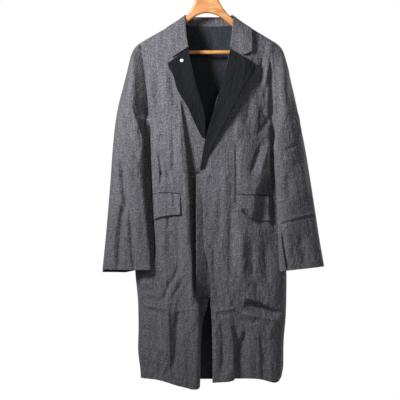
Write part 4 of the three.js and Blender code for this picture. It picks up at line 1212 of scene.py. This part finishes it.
FRONT_RIGHT_CREASES = creases(
    # From the shoulder past the lapel's tip.
    (((171, 236), (166, 296), (154, 364)), -9, 9, SHARP),
    (((186, 262), (172, 370)), 5, 10),
    (((128, 350), (120, 470)), -4, 12),
    (((196, 430), (172, 470), (150, 500)), -5, 6, SHARP),
    (((188, 300), (176, 350), (180, 420)), -4, 7, SHARP),
    (((44, 520), (76, 552)), -3.5, 5, SHARP),
    (((30, 590), (60, 600), (84, 596)), -3.5, 5, SHARP),
    (((150, 370), (146, 500)), 4, 13),
    (((100, 420), (92, 520)), 3, 12),
    # Slanted folds under the arm, and the hollow on their right.
    (((168, 510), (143, 564), (124, 622)), -9, 10, STEEP_LEFT),
    (((192, 498), (174, 555), (147, 645)), 8, 12, SHARP),
    (((192, 590), (146, 663), (132, 752)), 7, 18, STEEP_RIGHT, 0.2),
    (((190, 610), (170, 690), (164, 780)), -17, 20, ROUND, 0.25),
    # Hollow beside the sleeve.
    (((201, 430), (203, 500), (205, 600), (206, 700), (208, 800)), -24, 12, ROUND, 0.25),
    # Chest and waist, over a broad fullness.
    (((104, 430), (106, 600), (110, 780), (116, 930)), 7, 36, ROUND, 0.3),
    (((85, 506), (86, 600), (86, 726)), -4.5, 7, STEEP_LEFT, 0.15),
    (((92, 669), (140, 669), (190, 671)), -5, 3.5, SHARP, 0.05),
    (((74, 740), (73, 840), (70, 940)), -7, 11),
    (((102, 750), (104, 960)), 5, 12),
    (((76, 688), (69, 812)), -5, 8, SHARP),
    (((60, 560), (52, 720)), 4, 12),
    (((40, 640), (34, 840)), -3.5, 9),
    (((48, 600), (70, 640)), -2.5, 6, SHARP),
    (((20, 800), (23, 972)), -4.5, 6, SHARP),
    (((133, 806), (138, 952)), -5, 9, SHARP),
    (((104, 770), (108, 930)), 4.5, 13),
    (((176, 800), (182, 960)), -5, 12),
    (((60, 850), (52, 1000)), 3, 10),
    # Hidden stud, and the pinched edge under it.
    (((-4, 623),), 4, 10),
    (((-22, 618), (6, 584)), -4, 6, SHARP),
    # Packing crease.
    (((16, 1023), (85, 1014)), 4.5, 8, PRESSED, 0.15),
    (((20, 1036), (84, 1026)), -2.5, 7),
    # Tuck that runs to the side seam.
    (((108, 978), (166, 997)), 5, 8, SHARP),
    (((108, 990), (165, 1009), (226, 1034)), -20, 15, STEEP_RIGHT, 0.2),
    (((100, 1028), (160, 1041), (224, 1054)), 7, 5, SHARP, 0.15),
    (((96, 1040), (128, 1056), (160, 1058)), -8, 7, SHARP),
    (((208, 1050), (172, 1112)), 4, 10, SHARP),
    (((120, 940), (170, 962)), -3, 9),
    # Forked fold above the hem.
    (((93, 1104), (92, 1161), (94, 1250)), -18, 9, SHARP, 0.15),
    (((76, 1066), (92, 1114)), -11, 7, SHARP),
    (((118, 1074), (96, 1144)), -12, 8, SHARP),
    (((70, 1060), (78, 1140), (79, 1240)), 8, 9, STEEP_RIGHT, 0.15),
    (((104, 1078), (102, 1110)), 5, 6, SHARP),
    (((64, 1188), (61, 1244)), 7, 9),
    (((122, 1120), (132, 1244)), 5, 14),
    (((160, 1080), (166, 1150), (168, 1250)), -9, 13, STEEP_LEFT, 0.25),
    (((42, 1036), (46, 1110), (44, 1220)), -9, 12, STEEP_LEFT, 0.25),
    (((24, 1040), (28, 1160), (26, 1240)), 5, 8, SHARP, 0.25),
    (((196, 1140), (150, 1200)), -3, 9, SHARP),
)

BACK_CREASES = creases(
    (((-120, 300), (-96, 520), (-90, 640)), -8, 16),
    (((-60, 420), (-58, 760)), 5, 18),
    (((0, 300), (4, 900), (-6, 1240)), -7, 16, STEEP_RIGHT),
    (((70, 360), (62, 700)), 5, 20),
    (((140, 330), (104, 560), (96, 700)), -9, 15),
    (((-180, 470), (-120, 560), (-70, 600)), -7, 12, SHARP),
    (((180, 470), (120, 540), (76, 590)), -7, 11, SHARP),
    (((-30, 560), (20, 600)), -3, 8, SHARP),
    (((-150, 700), (-140, 1010)), 5, 18),
    (((-100, 860), (-108, 1250)), -11, 15, STEEP_LEFT),
    (((60, 800), (66, 1250)), -9, 14),
    (((110, 760), (124, 1250)), 7, 20),
    (((160, 900), (166, 1240)), -8, 14, SHARP),
    (((-200, 1010), (-60, 1022)), 4.5, 8, PRESSED, 0.15),
    (((-40, 1020), (200, 1008)), 4.5, 8, PRESSED, 0.15),
    (((-190, 1040), (-120, 1066)), -6, 9, SHARP),
    (((-60, 1130), (-20, 1180)), -4, 8, SHARP),
)

FLAP_LEFT_CREASES = creases(
    (((-142, 668), (-145, 716)), -2.5, 4, STEEP_LEFT, 0.1),
    (((-104, 668), (-99, 712)), -3, 5, STEEP_LEFT, 0.1),
    (((-88, 670), (-84, 712)), 2, 4, ROUND, 0.1),
)

UPPER_LEFT_CREASES = creases(
    (((-243, 430), (-241, 506)), -6, 6, SHARP),
    (((-262, 330), (-268, 500)), 4, 14),
    (((-228, 280), (-230, 430)), 4, 12),
    (((-214, 470), (-206, 520)), -6, 5, SHARP),
    (((-222, 400), (-206, 450)), -4, 6, SHARP),
    (((-276, 440), (-284, 520)), -5, 6, STEEP_LEFT),
    (((-252, 800), (-236, 850)), -3, 5, SHARP),
    (((-252, 300), (-256, 420)), -3, 9),
    # Elbow.
    (((-268, 556), (-259, 606), (-254, 660), (-247, 726)), -15, 9, STEEP_LEFT, 0.2, -20),
    (((-240, 512), (-222, 548), (-196, 574)), -7, 6, SHARP),
    (((-236, 552), (-200, 604)), 5, 7, SHARP),
    (((-232, 594), (-204, 640)), -7, 6, SHARP),
    (((-286, 512), (-270, 548), (-252, 566)), -6, 6, SHARP),
    (((-290, 600), (-266, 640)), -5, 6, SHARP),
    (((-268, 470), (-260, 548)), -4, 6, SHARP),
    (((-232, 480), (-204, 500)), -3, 6),
    # Two valleys down to the cuff and the ridge between them.
    (
        ((-252, 690), (-262, 744), (-269, 806), (-271, 874), (-271, 920)),
        -19, 13, STEEP_LEFT, 0.15,
    ),
    (((-238, 690), (-233, 735), (-230, 790), (-225, 850), (-220, 920)), -11, 8, STEEP_LEFT, 0.15),
    (((-246, 730), (-249, 806), (-252, 910)), 7, 9, SHARP, 0.2),
    (((-214, 690), (-206, 800), (-200, 900)), 5, 11),
    (((-286, 700), (-296, 890)), 4, 12),
)

UPPER_RIGHT_CREASES = creases(
    (((222, 250), (232, 420)), 5, 12),
    (((248, 300), (262, 470)), -5, 12),
    (((272, 380), (284, 520)), 3, 12),
    (((230, 542), (278, 524)), -3, 5, SHARP),
    (((226, 560), (268, 580)), 3.5, 10),
    (((240, 600), (246, 700)), -5, 12),
    (((280, 560), (300, 700)), 4, 13),
    # Level fold above the cuff.
    (((210, 765), (262, 751), (326, 738)), -3.2, 3, SHARP, 0.06),
    (((212, 757), (262, 743), (322, 730)), 2, 5, ROUND, 0.1),
    # Lit strip along the inner edge.
    (((222, 780), (230, 840), (242, 908)), -11, 6, STEEP_LEFT, 0.2),
    (((280, 780), (300, 900)), -5, 13),
)

UNDER_LEFT_CREASES = creases(
    (((-262, 480), (-232, 620), (-236, 700)), -8, 12),
    (((-225, 560), (-252, 600)), -6, 8, SHARP),
    (((-246, 700), (-262, 900)), -9, 12),
    (((-270, 640), (-284, 880)), 5, 13),
)

UNDER_RIGHT_CREASES = creases(
    (((262, 470), (250, 620), (262, 720)), -8, 12),
    (((236, 560), (270, 610)), -6, 8, SHARP),
    (((262, 730), (288, 900)), -9, 12),
    (((286, 640), (306, 880)), 5, 13),
)


# ---------------------------------------------------------------- the scene


@dataclass
class Hanger:
    """Wooden hanger with a wire hook. Its solids keep their shape."""

    yoke: str = "hanger_yoke"
    bar: str = "hanger_bar"
    hook: str = "hanger_hook"

    def dress(self) -> None:
        """Gives the solids their finishes."""
        finish_node(self.yoke, VarnishedWood().build())
        # The bar has no painted shade: both of its sides take the pale painted-highlight tint.
        finish_node(self.bar, VarnishedWood("varnished_bar", left_painted_shade_tint="fffbe6").build())
        finish_node(self.hook, PlainMetal("plated_wire", "c9cacc", 0.22).build())
        log.info("hanger: 3 solids")


def finish_node(node: str, material: Material) -> None:
    """Gives a solid of the frame its finish.

    Args:
        node: the solid's name.
        material: the finish.
    """
    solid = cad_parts[node]
    solid.data.materials.clear()
    solid.data.materials.append(material)


@dataclass(frozen=True)
class Lamp:
    """Square soft light that looks at one height of the coat."""

    name: str
    place: tuple[float, float, float]
    size: float
    power: float
    aim_z: float
    spread: float = 180

    def build(self) -> None:
        """Adds the light, which the camera doesn't see."""
        data = bpy.data.lights.new(self.name, "AREA")
        data.size = self.size
        data.energy = self.power
        data.spread = math.radians(self.spread)
        lamp = bpy.data.objects.new(self.name, data)
        lamp.location = self.place
        lamp.visible_camera = False
        aim = Vector((0, 0, self.aim_z)) - Vector(self.place)
        lamp.rotation_euler = aim.to_track_quat("-Z", "Y").to_euler()
        bpy.context.scene.collection.objects.link(lamp)


@dataclass
class Studio:
    """Pale floor, soft light from the front left and the camera."""

    # The photograph's 400 pixels span 1.2 m in the plane of the coat.
    centre: tuple[float, float] = (-0.021, -0.690)
    distance: float = 4.54
    lens: float = 135.0
    floor_drop: float = 1.75
    floor_radius: float = 1.5
    lamps: tuple[Lamp, ...] = (
        Lamp("key", (-1.24, -1.24, 0.26), size=0.5, power=9.4, aim_z=-0.36, spread=72),
        Lamp("fill", (0.4, -3.2, 0.3), size=1.2, power=13, aim_z=-0.6),
        Lamp("rear", (1.9, 1.5, 0.3), size=1.0, power=42, aim_z=-0.6),
    )

    def build(self) -> None:
        """Makes the camera, the floor and the lights."""
        scene = bpy.context.scene
        scene.view_settings.view_transform = "Standard"
        camera = bpy.data.objects.new("camera", bpy.data.cameras.new("camera"))
        camera.data.lens = self.lens
        camera.location = (self.centre[0], -self.distance, self.centre[1])
        camera.rotation_euler = (math.pi / 2, 0, 0)
        scene.collection.objects.link(camera)
        scene.camera = camera

        disc = bmesh.new()
        bmesh.ops.create_circle(disc, cap_ends=True, segments=96, radius=self.floor_radius)
        bmesh.ops.translate(disc, verts=disc.verts, vec=(0, 0, -self.floor_drop))
        mesh = bpy.data.meshes.new("floor")
        disc.to_mesh(mesh)
        disc.free()
        mesh.materials.append(PaintedFloor().build())
        floor = bpy.data.objects.new("floor", mesh)
        scene.collection.objects.link(floor)

        for lamp in self.lamps:
            lamp.build()
        self.sky()
        log.info("studio: camera, floor and lights")

    def sky(self) -> None:
        """White surroundings that light the coat softly."""
        world = bpy.data.worlds.new("studio")
        world.use_nodes = True
        tree = world.node_tree
        tree.nodes.clear()
        seen = add_node(tree, "ShaderNodeLightPath").outputs["Is Camera Ray"]
        soft, bright = (
            add_node(
                tree, "ShaderNodeBackground", {"Strength": strength, "Color": linear(colour)}
            ).outputs[0]
            for strength, colour in ((0.10, "f6f6f8"), (1.0, "ffffff"))
        )
        mixed = add_node(tree, "ShaderNodeMixShader", {}, {"0": seen, "1": soft, "2": bright})
        add_node(tree, "ShaderNodeOutputWorld", {}, {"Surface": mixed.outputs[0]})
        bpy.context.scene.world = world


def cloth_pieces() -> list[ClothPiece]:
    """Lists the cut pieces.

    Returns:
        The pieces in the order in which they are made, a layer after what it lies on.
    """
    fronts = {
        side: ClothPiece(
            f"front_{side}",
            cut=(0.330, 1.130),
            cut_area=0.262,
            sewn_to=("back", f"upper_sleeve_{side}", "collar"),
            creases=creases,
            widen=5,
            crumple=Crumple(seed=seed),
        )
        for side, seed, creases in (
            ("left", 1, FRONT_LEFT_CREASES),
            ("right", 2, FRONT_RIGHT_CREASES),
        )
    }
    back = ClothPiece(
        "back",
        cut=(0.520, 1.110),
        cut_area=0.485,
        inward=(0, -1, 0),
        sewn_to=(
            "front_left",
            "front_right",
            "under_sleeve_left",
            "under_sleeve_right",
            "collar",
        ),
        creases=BACK_CREASES,
        widen=5,
        crumple=Crumple(seed=3),
    )
    pieces = [*fronts.values(), back]
    for side, sign, seed, wrinkle, levels, upper, under, fall in (
        ("left", -1, 4, 3.2, 3, UPPER_LEFT_CREASES, UNDER_LEFT_CREASES, 9.0),
        ("right", 1, 5, 1.4, 4, UPPER_RIGHT_CREASES, UNDER_RIGHT_CREASES, 1.5),
    ):
        upper_sleeve = SleeveHalf(
            f"upper_sleeve_{side}",
            cut=(0.200, 0.680),
            cut_area=0.095,
            sewn_to=(f"front_{side}", f"under_sleeve_{side}"),
            rests_on=(f"front_{side}_cloth",),
            creases=upper,
            crumple=Crumple(seed=seed, wrinkle=wrinkle),
            levels=levels,
            side=sign,
        )
        under_sleeve = SleeveHalf(
            f"under_sleeve_{side}",
            cut=(0.190, 0.640),
            cut_area=0.080,
            inward=(0, -1, 0),
            sewn_to=("back", f"upper_sleeve_{side}"),
            rests_on=("back_cloth",),
            creases=under,
            crumple=Crumple(seed=seed + 2),
            side=sign,
            cuff_fall=fall,
        )
        pieces += [upper_sleeve, under_sleeve]
    collar = ClothPiece(
        "collar",
        cut=(0.480, 0.100),
        cut_area=0.041,
        outer=Outer.DOUBLE,
        inward=None,
        flat_grain=True,
        sewn_to=("front_left", "front_right", "back"),
        seam_width=6,
        rests_on=("front_left_cloth", "front_right_cloth", "back_cloth"),
        crumple=Crumple(seed=8, drape=0.6, wrinkle=0.4),
    )
    lapels = [
        Lapel(
            f"lapel_{side}",
            cut=cut,
            cut_area=area,
            outer=Outer.REVERSE,
            slot="linen_reverse",
            rests_on=(f"front_{side}_cloth",),
            lies_on=fronts[side],
            side=sign,
            roll=roll,
            flat=flat,
            lift=lift,
        )
        for side, sign, cut, area, roll, flat, lift in (
            ("left", -1, (0.090, 0.360), 0.016, (-56, 236, 0.182), 34, 6),
            ("right", 1, (0.090, 0.420), 0.020, (69, 237, -0.248), 6, 9),
        )
    ]
    flaps = [
        Flap(
            f"pocket_flap_{side}",
            cut=(0.125, 0.080),
            cut_area=0.009,
            rests_on=(f"front_{side}_cloth",),
            lies_on=fronts[side],
            creases=creases,
            curl_at=(96, 726),
            curl=curl,
        )
        for side, creases, curl in (("left", FLAP_LEFT_CREASES, 0), ("right", (), 7))
    ]
    fly_strip = FlyStrip(
        "fly_strip",
        cut=(0.060, 0.380),
        cut_area=0.0215,
        rests_on=("front_right_cloth",),
    )
    return [*pieces, collar, *lapels, *flaps, fly_strip]


def main() -> None:
    """Builds the coat and its studio."""
    logging.basicConfig(level=logging.INFO, format="%(name)s | %(message)s")
    Studio().build()
    face = WovenLinen(
        "slubbed_linen",
        dark="3f3e43",
        middle="5b5a60",
        light="838088",
        roughness=0.88,
        sheen=0.1,
        contrast=0.55,
        pucker=1.6,
    ).build()
    # The reverse is one cloth in two copies: a darker one for the lapels, and a lighter one for
    # the inner sides that paints light onto the shaded inside of the coat.
    reverse = WovenLinen("linen_reverse", "0b0d10", "111418", "1c2026").build()
    reverse_painted_lighter = WovenLinen("linen_reverse_painted_light", "24282d", "2e3238", "3c4148").build()
    sides = {
        Outer.FACE: (face, reverse_painted_lighter),
        Outer.DOUBLE: (face, face),
        Outer.REVERSE: (reverse, face),
    }
    for piece in cloth_pieces():
        piece.build(*sides[piece.outer])
    finish_node("press_stud", PlainMetal("stud_metal", "d2cfc8", 0.5).build())
    Hanger().dress()


if __name__ == "__main__":
    main()
